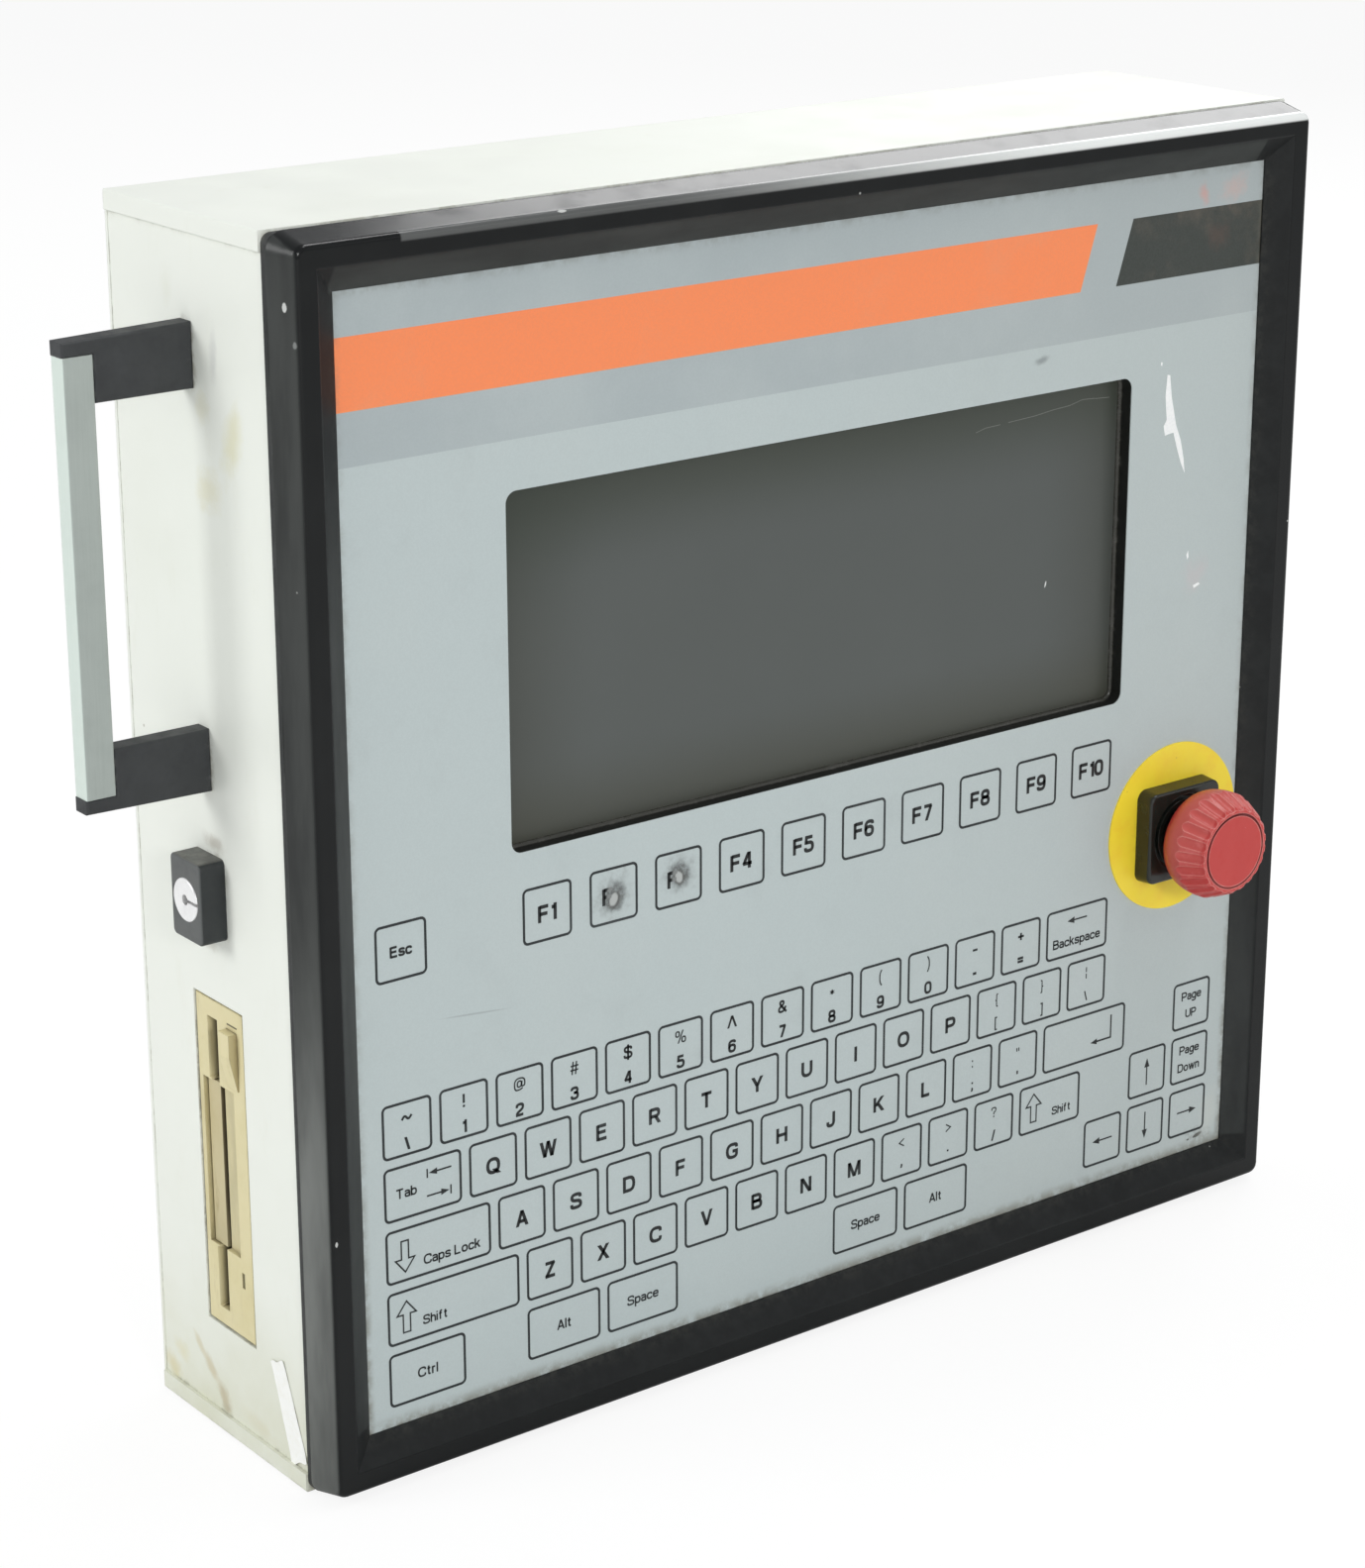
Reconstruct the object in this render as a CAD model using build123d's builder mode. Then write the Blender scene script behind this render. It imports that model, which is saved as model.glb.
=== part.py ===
from build123d import *
import os

# Industrial operator panel, millimetres. X to the right, Y into the depth, Z up.
# The origin is the centre of the housing's underside, and the printed face looks towards -Y.

# Printed face and the bumper frame round it
face_width = 336.0
face_height = 326.5
bumper_border = 16.25
bumper_crest = 5.5
bumper_bevel = 7.5
bumper_foot = 0.4
bumper_grip = 3.0
bumper_side = 7.25
bumper_slope = 2.6
bumper_round = 1.6
crest_corner = 3.0

# Layers behind the printed face, from the front
overlay_thickness = 0.3
spacer_thickness = 0.5
circuit_thickness = 0.4
plate_thickness = 4.0
flange_depth = 3.0
flange_inset = 0.7
flange_lip = 1.0
flange_corner = 3.0

# Sheet-metal housing
housing_depth = 80.0
sheet = 1.2
tray_flange = 5.6
screw_inset = 12.4
screw_edge = 4.6
side_screw_end = 29.5
side_screw_count = 4
top_screw_end = 54.25
top_screw_count = 3
cover_inset = 1.0
cover_corner = 2.0
vent_length = 26.0
vent_width = 3.0
vent_pitch = 9.0
vent_count = 14
vent_end = 74.5
vent_rows = 2

# Screws: shank radius, head radius and head height of each size used
m3_shank = 1.5
m3_head = 2.8
m3_head_height = 2.0
m4_shank = 2.0
m4_head = 4.0
m4_head_height = 2.5
m6_shank = 3.0
screw_slack = 0.15
head_taper = 18.0
cross_length_share = 1.15
cross_width_share = 0.28
cross_depth_share = 0.55
cover_screw_length = 7.0
flange_screw_bite = 3.0
nut_radius_share = 1.9
nut_height_share = 1.6

# Display
window_side = 52.5
window_above = 60.75
window_below = 162.55
window_corner = 3.5
trim_wall = 1.5
glass_lap = 7.0
glass_thickness = 3.0
gasket_width = 4.0
gasket_thickness = 1.0
module_lap = 14.0
module_depth = 14.0
module_corner = 2.0
carrier_edge = 8.0
carrier_lap = 23.4
standoff_radius = 3.5
standoff_gap = 8.5
standoff_inset = 14.0
standoff_bite = 8.0

# Keyboard: keys drawn on the foil, a snap dome under each
key_columns = 17
key_margin = 7.35
key_gap = 2.55
key_foot = 5.9
function_count = 10
function_margin = 55.7
function_size = 16.9
function_drop = 11.05
escape_left = 6.8
dome_radius = 5.0
dome_height = 0.4
pocket_slack = 0.3
tail_width = 30.0
tail_drop = 28.8
tail_bend = 3.0
tail_run_gap = 3.0
tail_slot_slack = 1.2

# Emergency stop
stop_side = 28.5
stop_drop = 46.4
stop_disc_radius = 27.6
stop_disc_shift = 0.6
stop_disc_thickness = 0.5
collar_size = 31.0
collar_depth = 6.0
collar_corner = 3.5
collar_edge = 1.0
collar_taper = 5.0
dish_inset = 2.5
dish_depth = 3.0
dish_rim = 1.5
stop_barrel_radius = 11.0
stop_barrel_length = 19.0
stop_hole_slack = 0.15
plunger_radius = 6.0
pivot_radius = 4.0
running_gap = 0.05
stop_travel = 5.0
stop_room = 1.0
head_length = 16.5
head_max_radius = 17.3
head_max_rise = 9.0
head_back_step = 2.2
head_face_step = 3.8
head_edge = 0.8
head_bore_depth = 11.0
flute_count = 22
flute_radius = 2.3
flute_tilt = 24.0
flute_inset = 0.3
flute_rise = 13.5
flute_length = 14.0
groove_inset = 1.8
groove_width = 0.6
groove_depth = 0.6
fixing_ring_radius = 15.5
fixing_ring_depth = 5.0
contact_size = 30.0
contact_depth = 36.0
contact_well = 7.5

# Handle on the left wall
side_line = 0.7
handle_rise = 39.7
handle_end = 38.4
bracket_edge = 4.0
bracket_thickness = 6.8
bracket_cap = 5.0
bracket_round = 0.8
bracket_slope = 1.0
handle_reach = 38.6
cap_overhang = 0.2
bar_width = 9.0
bar_depth = 6.5
bar_round = 0.6
handle_screw_pitch = 10.0
handle_screw_bite = 12.0

# Key switch on the left wall
key_switch_rise = 32.6
key_block_width = 16.0
key_block_height = 24.0
key_block_proud = 8.0
key_block_corner = 1.8
key_block_round = 0.6
lock_barrel_radius = 7.9
lock_barrel_length = 24.0
lock_hole_slack = 0.15
rotor_radius = 6.3
rotor_proud = 0.4
rotor_edge = 0.4
keyhole_radius = 1.5
keyhole_slot = 0.9
keyhole_depth = 12.0
lock_nut_radius = 11.0
lock_nut_depth = 3.5
lock_contact_depth = 20.0
lock_contact_gap = 0.3

# Disk drive in the left wall, standing on its side
drive_width = 101.6
drive_height = 25.4
drive_length = 146.0
drive_bottom = 34.3
drive_recess = 0.2
drive_cutout_gap = 0.6
faceplate_depth = 5.5
faceplate_round = 0.6
disk_slot_end = 5.5
disk_slot_height = 4.4
disk_slot_edge = 9.3
disk_channel_depth = 95.0
disk_channel_slack = 0.4
well_length = 19.0
well_height = 5.4
well_depth = 3.2
flap_well_gap = 0.8
flap_height = 7.6
flap_thickness = 1.2
flap_recess = 1.0
flap_gap = 0.3
flap_front_gap = 1.2
flap_edge = 6.5
flap_barrel_radius = 1.1
flap_pin_radius = 0.8
flap_pin_length = 1.8
flap_pocket_depth = 12.0
ledge_height = 7.5
ledge_depth = 1.6
button_length = 17.4
button_height = 5.6
button_proud = 2.6
button_flat = 7.0
button_low_proud = 0.3
button_edge = 6.2
button_end = 15.1
button_gap = 0.15
button_stem = 5.0
button_travel = 2.5
button_well_room = 1.0
lamp_length = 4.6
lamp_height = 1.3
lamp_edge = 5.3
lamp_end = 18.6
lamp_gap = 0.1
lamp_recess = 0.3
drive_plug_depth = 8.0
drive_plug_height = 8.0
drive_plug_width = 42.0
bracket_run = 120.0
bracket_web_gap = 0.3
bracket_reach = 22.0
bracket_foot = 18.0
drive_screw_inset = 18.0
drive_screw_pitch = 60.0
drive_screw_bite = 4.0

# Controller board behind the display
board_inset_x = 18.0
board_inset_z = 15.0
board_thickness = 1.6
board_x = 5.0
board_rise = 9.6
board_gap = 12.0
board_hole_inset = 6.0
board_post_radius = 3.0
board_screw_bite = 6.0
chip_height = 3.5
chip_size_share = 0.125
chip_pitch_x_share = 0.2
chip_pitch_z_share = 0.25
chip_columns = 4
chip_rows = 3
chip_shift = 8.0
header_height = 8.0
header_depth = 8.0
ribbon_thickness = 1.0
display_ribbon_width = 46.0
display_ribbon_x = -60.0
carrier_slot_slack = 2.0

# Power supply on the bottom tray
supply_inset = 11.0
supply_height = 76.0
supply_wall_gap = 7.85
supply_plate_gap = 2.0
supply_base = 2.0
supply_base_lap = 10.0
supply_round = 1.5
supply_vent_width = 2.5
supply_vent_length = 40.0
supply_vent_depth = 1.0
supply_vent_pitch = 7.0
supply_vent_count = 9
stud_hole_inset = 5.0
stud_height = 9.0

# Support arm plate and cable entry in the bottom tray
arm_plate_width = 96.0
arm_plate_inset = 7.0
arm_plate_thickness = 4.0
arm_plate_corner = 4.0
arm_hole_radius = 3.3
arm_hole_inset_x = 9.0
arm_hole_inset_y = 11.0
entry_radius = 12.5
grommet_wall = 1.5
grommet_lip = 2.5
grommet_lip_height = 1.5
earth_side = 61.85
earth_end = 16.0
earth_height = 14.0
washer_share = 2.1
washer_height = 1.2

# How far a cut runs past the face it leaves by
overrun = 2.0

# Worked out from the sizes above
panel_width = face_width + 2 * bumper_border
panel_height = face_height + 2 * bumper_border
half_width = panel_width / 2
half_height = panel_height / 2
housing_front = -housing_depth / 2
housing_back = housing_depth / 2
flange_front = housing_front - flange_depth
plate_back = flange_front
plate_front = plate_back - plate_thickness
circuit_front = plate_front - circuit_thickness
spacer_front = circuit_front - spacer_thickness
face_front = spacer_front - overlay_thickness
face_left = -face_width / 2
face_bottom = bumper_border
plate_width = panel_width - 2 * bumper_side
plate_height = panel_height - 2 * bumper_side
foil_width = face_width + 2 * bumper_grip
foil_height = face_height + 2 * bumper_grip
wall_outside = half_width - sheet
wall_inside = wall_outside - sheet
return_reach = screw_inset + screw_edge
flange_reach = return_reach + flange_lip
window_width = face_width - 2 * window_side
window_height = face_height - window_above - window_below
window_bottom = face_bottom + window_below
window_middle = window_bottom + window_height / 2
stop_x = face_width / 2 - stop_side
stop_z = window_bottom - stop_drop


def facing(y):
    """Plane across the depth at y, with X and Z as its own axes and its normal towards the front."""
    return Plane.XZ.offset(-y)


def beside(x):
    """Plane across the width at x, with Y and Z as its own axes and its normal to the right."""
    return Plane.YZ.offset(x)


def above(z):
    """Level plane at height z."""
    return Plane.XY.offset(z)


def save(piece, name):
    """Label a finished piece and write it."""
    piece.part.label = name
    export_step(piece.part, f"parts/{name}.step")


def add_screws(plane, places, shank, head, head_height, length, outward):
    """Pan-head screws with a cross recess. The heads stand on the plane, on the side that outward says."""
    with BuildSketch(plane) as heads:
        with Locations(*places):
            Circle(head)
    extrude(heads.sketch, amount=outward * head_height, taper=head_taper)
    with BuildSketch(plane) as shanks:
        with Locations(*places):
            Circle(shank)
    extrude(shanks.sketch, amount=-outward * length)
    with BuildSketch(plane.offset(outward * head_height)) as crosses:
        with Locations(*places):
            Rectangle(head * cross_length_share, head * cross_width_share)
            Rectangle(head * cross_width_share, head * cross_length_share)
    extrude(crosses.sketch, amount=-outward * head_height * cross_depth_share, mode=Mode.SUBTRACT)


def add_nuts(plane, places, shank, outward):
    """Hexagon nuts that stand on the plane."""
    with BuildSketch(plane) as nuts:
        with Locations(*places):
            RegularPolygon(shank * nut_radius_share, 6)
            Circle(shank + screw_slack, mode=Mode.SUBTRACT)
    extrude(nuts.sketch, amount=outward * shank * nut_height_share)


def drill(plane, places, radius, reach):
    """Round holes from the plane, reach long and on either side of it."""
    with BuildSketch(plane) as holes:
        with Locations(*places):
            Circle(radius)
    extrude(holes.sketch, amount=reach, both=True, mode=Mode.SUBTRACT)


side_screw_x = half_width - screw_inset
side_screw_pitch = (panel_height - 2 * side_screw_end) / (side_screw_count - 1)
top_screw_pitch = (panel_width - 2 * top_screw_end) / (top_screw_count - 1)
edge_places = [
    (side * side_screw_x, half_height + (row - (side_screw_count - 1) / 2) * side_screw_pitch)
    for side in (-1, 1)
    for row in range(side_screw_count)
] + [
    ((column - (top_screw_count - 1) / 2) * top_screw_pitch, half_height + end * (half_height - screw_inset))
    for end in (-1, 1)
    for column in range(top_screw_count)
]

# Each row of keys as runs of first column, number of keys and key width, all in key pitches
key_row_shares = [
    [(0, 13, 1), (13, 1, 1.5)],
    [(0, 1, 1.5), (1.5, 13, 1)],
    [(0, 1, 2), (2, 11, 1), (13, 1, 2), (16, 1, 1)],
    [(0, 1, 2.5), (2.5, 10, 1), (12.5, 1, 1.5), (15, 2, 1)],
    [(0, 1, 1.5), (2.5, 2, 1.5), (8.5, 2, 1.5), (14, 3, 1)],
]
key_pitch = (face_width - 2 * key_margin + key_gap) / key_columns
key_size = key_pitch - key_gap
key_top = key_foot + len(key_row_shares) * key_pitch - key_gap
key_centres = []
for row, runs in enumerate(key_row_shares):
    for first, count, width in runs:
        for number in range(count):
            left = key_margin + (first + number * width) * key_pitch
            key_centres.append(
                (face_left + left + (width * key_pitch - key_gap) / 2,
                 face_bottom + key_top - row * key_pitch - key_size / 2)
            )
function_pitch = (face_width - 2 * function_margin - function_size) / (function_count - 1)
function_middle = window_bottom - function_drop - function_size / 2
key_centres.append((face_left + escape_left + function_size / 2, function_middle))
for number in range(function_count):
    left = function_margin + number * function_pitch
    key_centres.append((face_left + left + function_size / 2, function_middle))


def side_wall(side):
    """Side wall of channel section: web, front return and rear return, with the screw holes."""
    outside = side * wall_outside
    inside = side * wall_inside
    lip = side * (half_width - return_reach)
    with BuildSketch(above(sheet)) as section:
        with BuildLine():
            Polyline(
                (outside, housing_front),
                (outside, housing_back),
                (lip, housing_back),
                (lip, housing_back - sheet),
                (inside, housing_back - sheet),
                (inside, housing_front + sheet),
                (lip, housing_front + sheet),
                (lip, housing_front),
                close=True,
            )
        make_face()
    extrude(section.sketch, amount=panel_height - 2 * sheet)
    drill(facing(housing_front), edge_places, m4_shank + screw_slack, housing_depth + overrun)


# Housing
drive_top = drive_bottom + drive_width
drive_middle = drive_bottom + drive_width / 2
key_switch_height = drive_top + key_switch_rise
handle_low = key_switch_height + handle_rise
handle_high = panel_height - handle_end
bracket_height = handle_screw_pitch + 2 * bracket_edge
bracket_heights = [handle_low, handle_high]
handle_screw_places = [
    (side_line, middle + end * handle_screw_pitch / 2) for middle in bracket_heights for end in (-1, 1)
]

with BuildPart() as left_wall:
    side_wall(-1)
    drill(beside(-wall_inside), handle_screw_places, m4_shank + screw_slack, sheet + overrun)
    drill(beside(-wall_inside), [(side_line, key_switch_height)], lock_barrel_radius + lock_hole_slack,
          sheet + overrun)
    with BuildSketch(beside(-wall_inside)):
        with Locations((0, drive_middle)):
            Rectangle(drive_height + 2 * drive_cutout_gap, drive_width + 2 * drive_cutout_gap)
    extrude(amount=sheet + overrun, both=True, mode=Mode.SUBTRACT)
save(left_wall, "left_wall")

with BuildPart() as right_wall:
    side_wall(1)
save(right_wall, "right_wall")


def tray(base, up):
    """Tray with side flanges over the walls and returns at front and back. Base is its outer face."""
    with BuildSketch(above(base)) as floor:
        Rectangle(panel_width, housing_depth)
    extrude(floor.sketch, amount=up * sheet)
    with BuildSketch(above(base)) as side_flanges:
        with Locations((-(half_width - sheet / 2), 0), (half_width - sheet / 2, 0)):
            Rectangle(sheet, housing_depth)
    extrude(side_flanges.sketch, amount=up * tray_flange)
    with BuildSketch(above(base)) as returns:
        with Locations((0, housing_front + sheet / 2), (0, housing_back - sheet / 2)):
            Rectangle(panel_width - 2 * return_reach - 2 * screw_slack, sheet)
    extrude(returns.sketch, amount=up * return_reach)


with BuildPart() as top_tray:
    tray(panel_height, -1)
    drill(facing(housing_front), edge_places, m4_shank + screw_slack, housing_depth + overrun)
    bend_edges = top_tray.edges().filter_by(Axis.Y).group_by(Axis.Z)[-1]
    fillet(bend_edges, sheet / 2)
save(top_tray, "top_tray")

arm_plate_depth = housing_depth - 2 * arm_plate_inset
arm_places = [
    (side * (arm_plate_width / 2 - arm_hole_inset_x), end * (arm_plate_depth / 2 - arm_hole_inset_y))
    for side in (-1, 1)
    for end in (-1, 1)
]
grommet_seat_radius = entry_radius + grommet_wall

with BuildPart() as bottom_tray:
    tray(0, 1)
    drill(facing(housing_front), edge_places, m4_shank + screw_slack, housing_depth + overrun)
    drill(above(0), arm_places, arm_hole_radius, sheet + overrun)
    drill(above(0), [(0, 0)], grommet_seat_radius, sheet + overrun)
    bend_edges = bottom_tray.edges().filter_by(Axis.Y).group_by(Axis.Z)[0]
    fillet(bend_edges.filter_by(lambda edge: abs(edge.center().X) > wall_inside), sheet / 2)
save(bottom_tray, "bottom_tray")

vent_row_pitch = panel_height - 2 * vent_end

with BuildPart() as rear_cover:
    with BuildSketch(facing(housing_back)):
        with Locations((0, half_height)):
            RectangleRounded(panel_width - 2 * cover_inset, panel_height - 2 * cover_inset, cover_corner)
    extrude(amount=-sheet)
    with BuildSketch(facing(housing_back)):
        with Locations((0, half_height)):
            with GridLocations(vent_pitch, vent_row_pitch, vent_count, vent_rows):
                SlotOverall(vent_length, vent_width, rotation=90)
    extrude(amount=-(sheet + overrun), mode=Mode.SUBTRACT)
    drill(facing(housing_back), edge_places, m4_shank + screw_slack, sheet + overrun)
save(rear_cover, "rear_cover")

with BuildPart() as rear_cover_screws:
    add_screws(facing(housing_back + sheet), edge_places, m4_shank, m4_head, m4_head_height,
               cover_screw_length, -1)
save(rear_cover_screws, "rear_cover_screws")

# Front assembly
with BuildPart() as front_flange:
    with BuildSketch(facing(housing_front)):
        with Locations((0, half_height)):
            RectangleRounded(panel_width - 2 * flange_inset, panel_height - 2 * flange_inset, flange_corner)
            Rectangle(panel_width - 2 * flange_reach, panel_height - 2 * flange_reach, mode=Mode.SUBTRACT)
    extrude(amount=flange_depth)
    drill(facing(housing_front), edge_places, m4_shank + screw_slack, flange_depth + overrun)
save(front_flange, "front_flange")

stop_hole = [(stop_x, stop_z)]
stop_hole_radius = stop_barrel_radius + stop_hole_slack
tail_slot_height = circuit_thickness + 2 * tail_slot_slack
tail_height = window_bottom - tail_drop

with BuildPart() as front_plate:
    with BuildSketch(facing(plate_back)):
        with Locations((0, half_height)):
            Rectangle(plate_width, plate_height)
        with Locations((0, window_middle)):
            RectangleRounded(
                window_width + 2 * trim_wall, window_height + 2 * trim_wall, window_corner + trim_wall,
                mode=Mode.SUBTRACT,
            )
        with Locations((0, tail_height)):
            Rectangle(tail_width + 2 * tail_slot_slack, tail_slot_height, mode=Mode.SUBTRACT)
    extrude(amount=plate_thickness)
    drill(facing(plate_back), stop_hole, stop_hole_radius, plate_thickness + overrun)
    drill(facing(plate_back), edge_places, m4_shank + screw_slack, flange_screw_bite + screw_slack)
save(front_plate, "front_plate")

with BuildPart() as flange_screws:
    add_screws(facing(housing_front + sheet), edge_places, m4_shank, m4_head, m4_head_height,
               sheet + flange_depth + flange_screw_bite, -1)
save(flange_screws, "flange_screws")

crest_front = face_front - bumper_crest

# The outer sides of the bumper slope inwards to its crest
with BuildPart() as bumper_frame:
    for place, inset in ((plate_back, 0), (crest_front, bumper_slope)):
        with BuildSketch(facing(place)):
            with Locations((0, half_height)):
                RectangleRounded(
                    panel_width - 2 * inset, panel_height - 2 * inset, crest_corner + bumper_slope - inset
                )
    loft()
    fillet(bumper_frame.faces().sort_by(Axis.Y)[0].edges(), bumper_round)
    with BuildSketch(facing(face_front)):
        with Locations((0, half_height)):
            Rectangle(face_width, face_height)
    extrude(amount=bumper_crest + overrun, both=True, mode=Mode.SUBTRACT)
    with BuildSketch(facing(face_front - bumper_foot)):
        with Locations((0, half_height)):
            Rectangle(face_width, face_height)
    with BuildSketch(facing(crest_front)):
        with Locations((0, half_height)):
            Rectangle(face_width + 2 * bumper_bevel, face_height + 2 * bumper_bevel)
    loft(mode=Mode.SUBTRACT)
    with BuildSketch(facing(plate_back)):
        with Locations((0, half_height)):
            Rectangle(plate_width, plate_height)
    extrude(amount=plate_thickness, mode=Mode.SUBTRACT)
    with BuildSketch(facing(plate_front)):
        with Locations((0, half_height)):
            Rectangle(foil_width, foil_height)
    extrude(amount=plate_front - face_front, mode=Mode.SUBTRACT)
save(bumper_frame, "bumper_frame")


def foil(back, thickness, window_grow):
    """Sheet under the bumper's edge, with the display window and the stop button's hole."""
    with BuildSketch(facing(back)) as outline:
        with Locations((0, half_height)):
            Rectangle(foil_width, foil_height)
        with Locations((0, window_middle)):
            RectangleRounded(
                window_width + 2 * window_grow, window_height + 2 * window_grow, window_corner + window_grow,
                mode=Mode.SUBTRACT,
            )
        with Locations((stop_x, stop_z)):
            Circle(stop_hole_radius, mode=Mode.SUBTRACT)
    extrude(outline.sketch, amount=thickness)


with BuildPart() as front_overlay:
    foil(spacer_front, overlay_thickness, 0)
save(front_overlay, "front_overlay")

with BuildPart() as key_spacer:
    foil(circuit_front, spacer_thickness, trim_wall)
    drill(facing(circuit_front), key_centres, dome_radius + pocket_slack, spacer_thickness + overrun)
save(key_spacer, "key_spacer")

with BuildPart() as key_domes:
    with BuildSketch(facing(circuit_front)):
        with Locations(*key_centres):
            Circle(dome_radius)
    extrude(amount=dome_height, taper=head_taper)
save(key_domes, "key_domes")

module_width = window_width + 2 * module_lap
module_height = window_height + 2 * module_lap
standoff_spread_x = module_width + 2 * standoff_gap
carrier_width = standoff_spread_x + 2 * carrier_edge
carrier_height = window_height + 2 * carrier_lap
standoff_spread_z = carrier_height - 2 * standoff_inset
board_width = carrier_width - 2 * board_inset_x
board_height = carrier_height - 2 * board_inset_z
board_z = window_middle + board_rise
carrier_back = plate_back + glass_thickness + gasket_thickness + module_depth + sheet
board_front = carrier_back + board_gap
board_back = board_front + board_thickness
board_bottom = board_z - board_height / 2
tail_back = board_front - tail_run_gap

with BuildPart() as key_circuit:
    foil(plate_front, circuit_thickness, trim_wall)
    with BuildSketch(beside(0)):
        with BuildLine() as tail_path:
            FilletPolyline(
                (plate_front - circuit_thickness / 2, tail_height),
                (tail_back, tail_height),
                (tail_back, board_bottom),
                radius=tail_bend,
            )
        trace(tail_path.line, line_width=circuit_thickness)
    extrude(amount=tail_width / 2, both=True)
save(key_circuit, "key_circuit")

with BuildPart() as window_trim:
    with BuildSketch(facing(plate_back)):
        with Locations((0, window_middle)):
            RectangleRounded(
                window_width + 2 * trim_wall, window_height + 2 * trim_wall, window_corner + trim_wall
            )
            RectangleRounded(window_width, window_height, window_corner, mode=Mode.SUBTRACT)
    extrude(amount=plate_back - spacer_front)
save(window_trim, "window_trim")

glass_back = plate_back + glass_thickness
gasket_back = glass_back + gasket_thickness
glass_width = window_width + 2 * glass_lap
glass_height = window_height + 2 * glass_lap

with BuildPart() as display_glass:
    with BuildSketch(facing(glass_back)):
        with Locations((0, window_middle)):
            Rectangle(glass_width, glass_height)
    extrude(amount=glass_thickness)
save(display_glass, "display_glass")

with BuildPart() as display_gasket:
    with BuildSketch(facing(gasket_back)):
        with Locations((0, window_middle)):
            Rectangle(glass_width, glass_height)
            Rectangle(glass_width - 2 * gasket_width, glass_height - 2 * gasket_width, mode=Mode.SUBTRACT)
    extrude(amount=gasket_thickness)
save(display_gasket, "display_gasket")

module_back = gasket_back + module_depth

with BuildPart() as display_module:
    with BuildSketch(facing(module_back)):
        with Locations((0, window_middle)):
            RectangleRounded(module_width, module_height, module_corner)
    extrude(amount=module_depth)
save(display_module, "display_module")

standoff_places = [
    (side * standoff_spread_x / 2, window_middle + end * standoff_spread_z / 2)
    for side in (-1, 1)
    for end in (-1, 1)
]
board_places = [
    (board_x + side * (board_width / 2 - board_hole_inset),
     board_z + end * (board_height / 2 - board_hole_inset))
    for side in (-1, 1)
    for end in (-1, 1)
]
display_ribbon_z = board_bottom + header_height + carrier_slot_slack

with BuildPart() as display_carrier:
    with BuildSketch(facing(carrier_back)):
        with Locations((0, window_middle)):
            Rectangle(carrier_width, carrier_height)
        with Locations((display_ribbon_x, display_ribbon_z)):
            Rectangle(
                display_ribbon_width + 2 * carrier_slot_slack, ribbon_thickness + 2 * carrier_slot_slack,
                mode=Mode.SUBTRACT,
            )
    extrude(amount=sheet)
    drill(facing(carrier_back), standoff_places, m3_shank + screw_slack, sheet + overrun)
save(display_carrier, "display_carrier")

with BuildPart() as display_standoffs:
    with BuildSketch(facing(module_back)):
        with Locations(*standoff_places):
            RegularPolygon(standoff_radius, 6)
    extrude(amount=module_back - plate_back)
    drill(facing(module_back), standoff_places, m3_shank + screw_slack, standoff_bite + screw_slack)
save(display_standoffs, "display_standoffs")

with BuildPart() as carrier_screws:
    add_screws(facing(carrier_back), standoff_places, m3_shank, m3_head, m3_head_height,
               sheet + standoff_bite, -1)
save(carrier_screws, "carrier_screws")

# Controller board with its chips, plugs and ribbons
with BuildPart() as controller_board:
    with BuildSketch(facing(board_back)):
        with Locations((board_x, board_z)):
            Rectangle(board_width, board_height)
    extrude(amount=board_thickness)
    drill(facing(board_back), board_places, m3_shank + screw_slack, board_thickness + overrun)
save(controller_board, "controller_board")

with BuildPart() as board_standoffs:
    with BuildSketch(facing(board_front)):
        with Locations(*board_places):
            RegularPolygon(board_post_radius, 6)
    extrude(amount=board_gap)
    drill(facing(board_front), board_places, m3_shank + screw_slack, board_screw_bite + screw_slack)
save(board_standoffs, "board_standoffs")

with BuildPart() as board_screws:
    add_screws(facing(board_back), board_places, m3_shank, m3_head, m3_head_height,
               board_thickness + board_screw_bite, -1)
save(board_screws, "board_screws")

with BuildPart() as board_chips:
    with BuildSketch(facing(board_back)):
        with Locations((board_x, board_z + chip_shift)):
            with GridLocations(
                board_width * chip_pitch_x_share, board_height * chip_pitch_z_share, chip_columns, chip_rows
            ):
                Rectangle(board_width * chip_size_share, board_height * chip_size_share)
    extrude(amount=-chip_height)
save(board_chips, "board_chips")

drive_front = -(wall_outside - drive_recess)
faceplate_back = drive_front + faceplate_depth
drive_end = drive_front + drive_length
drive_plug_end = drive_end + drive_plug_depth
drive_header_x = drive_plug_end + drive_plug_width / 2
drive_ribbon_y = board_back + header_depth / 2

with BuildPart() as board_plugs:
    with BuildSketch(facing(board_back)):
        with Locations((drive_header_x, board_bottom + header_height / 2)):
            Rectangle(drive_plug_width, header_height)
    extrude(amount=-header_depth)
    with BuildSketch(facing(board_front)):
        with Locations((0, board_bottom + header_height / 2)):
            Rectangle(tail_width, header_height)
    extrude(amount=header_depth - tail_run_gap)
save(board_plugs, "board_plugs")

with BuildPart() as drive_ribbon:
    with BuildSketch(facing(drive_ribbon_y)):
        with BuildLine():
            Polyline(
                (drive_plug_end, drive_middle - drive_plug_width / 2),
                (drive_plug_end + drive_plug_width, drive_middle + drive_plug_width / 2),
                (drive_plug_end + drive_plug_width, board_bottom),
                (drive_plug_end, board_bottom),
                close=True,
            )
        make_face()
    extrude(amount=ribbon_thickness / 2, both=True)
save(drive_ribbon, "drive_ribbon")

with BuildPart() as display_ribbon:
    with BuildSketch(facing(board_front)):
        with Locations((display_ribbon_x, display_ribbon_z)):
            Rectangle(display_ribbon_width, ribbon_thickness)
    extrude(amount=board_front - module_back)
save(display_ribbon, "display_ribbon")

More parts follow.
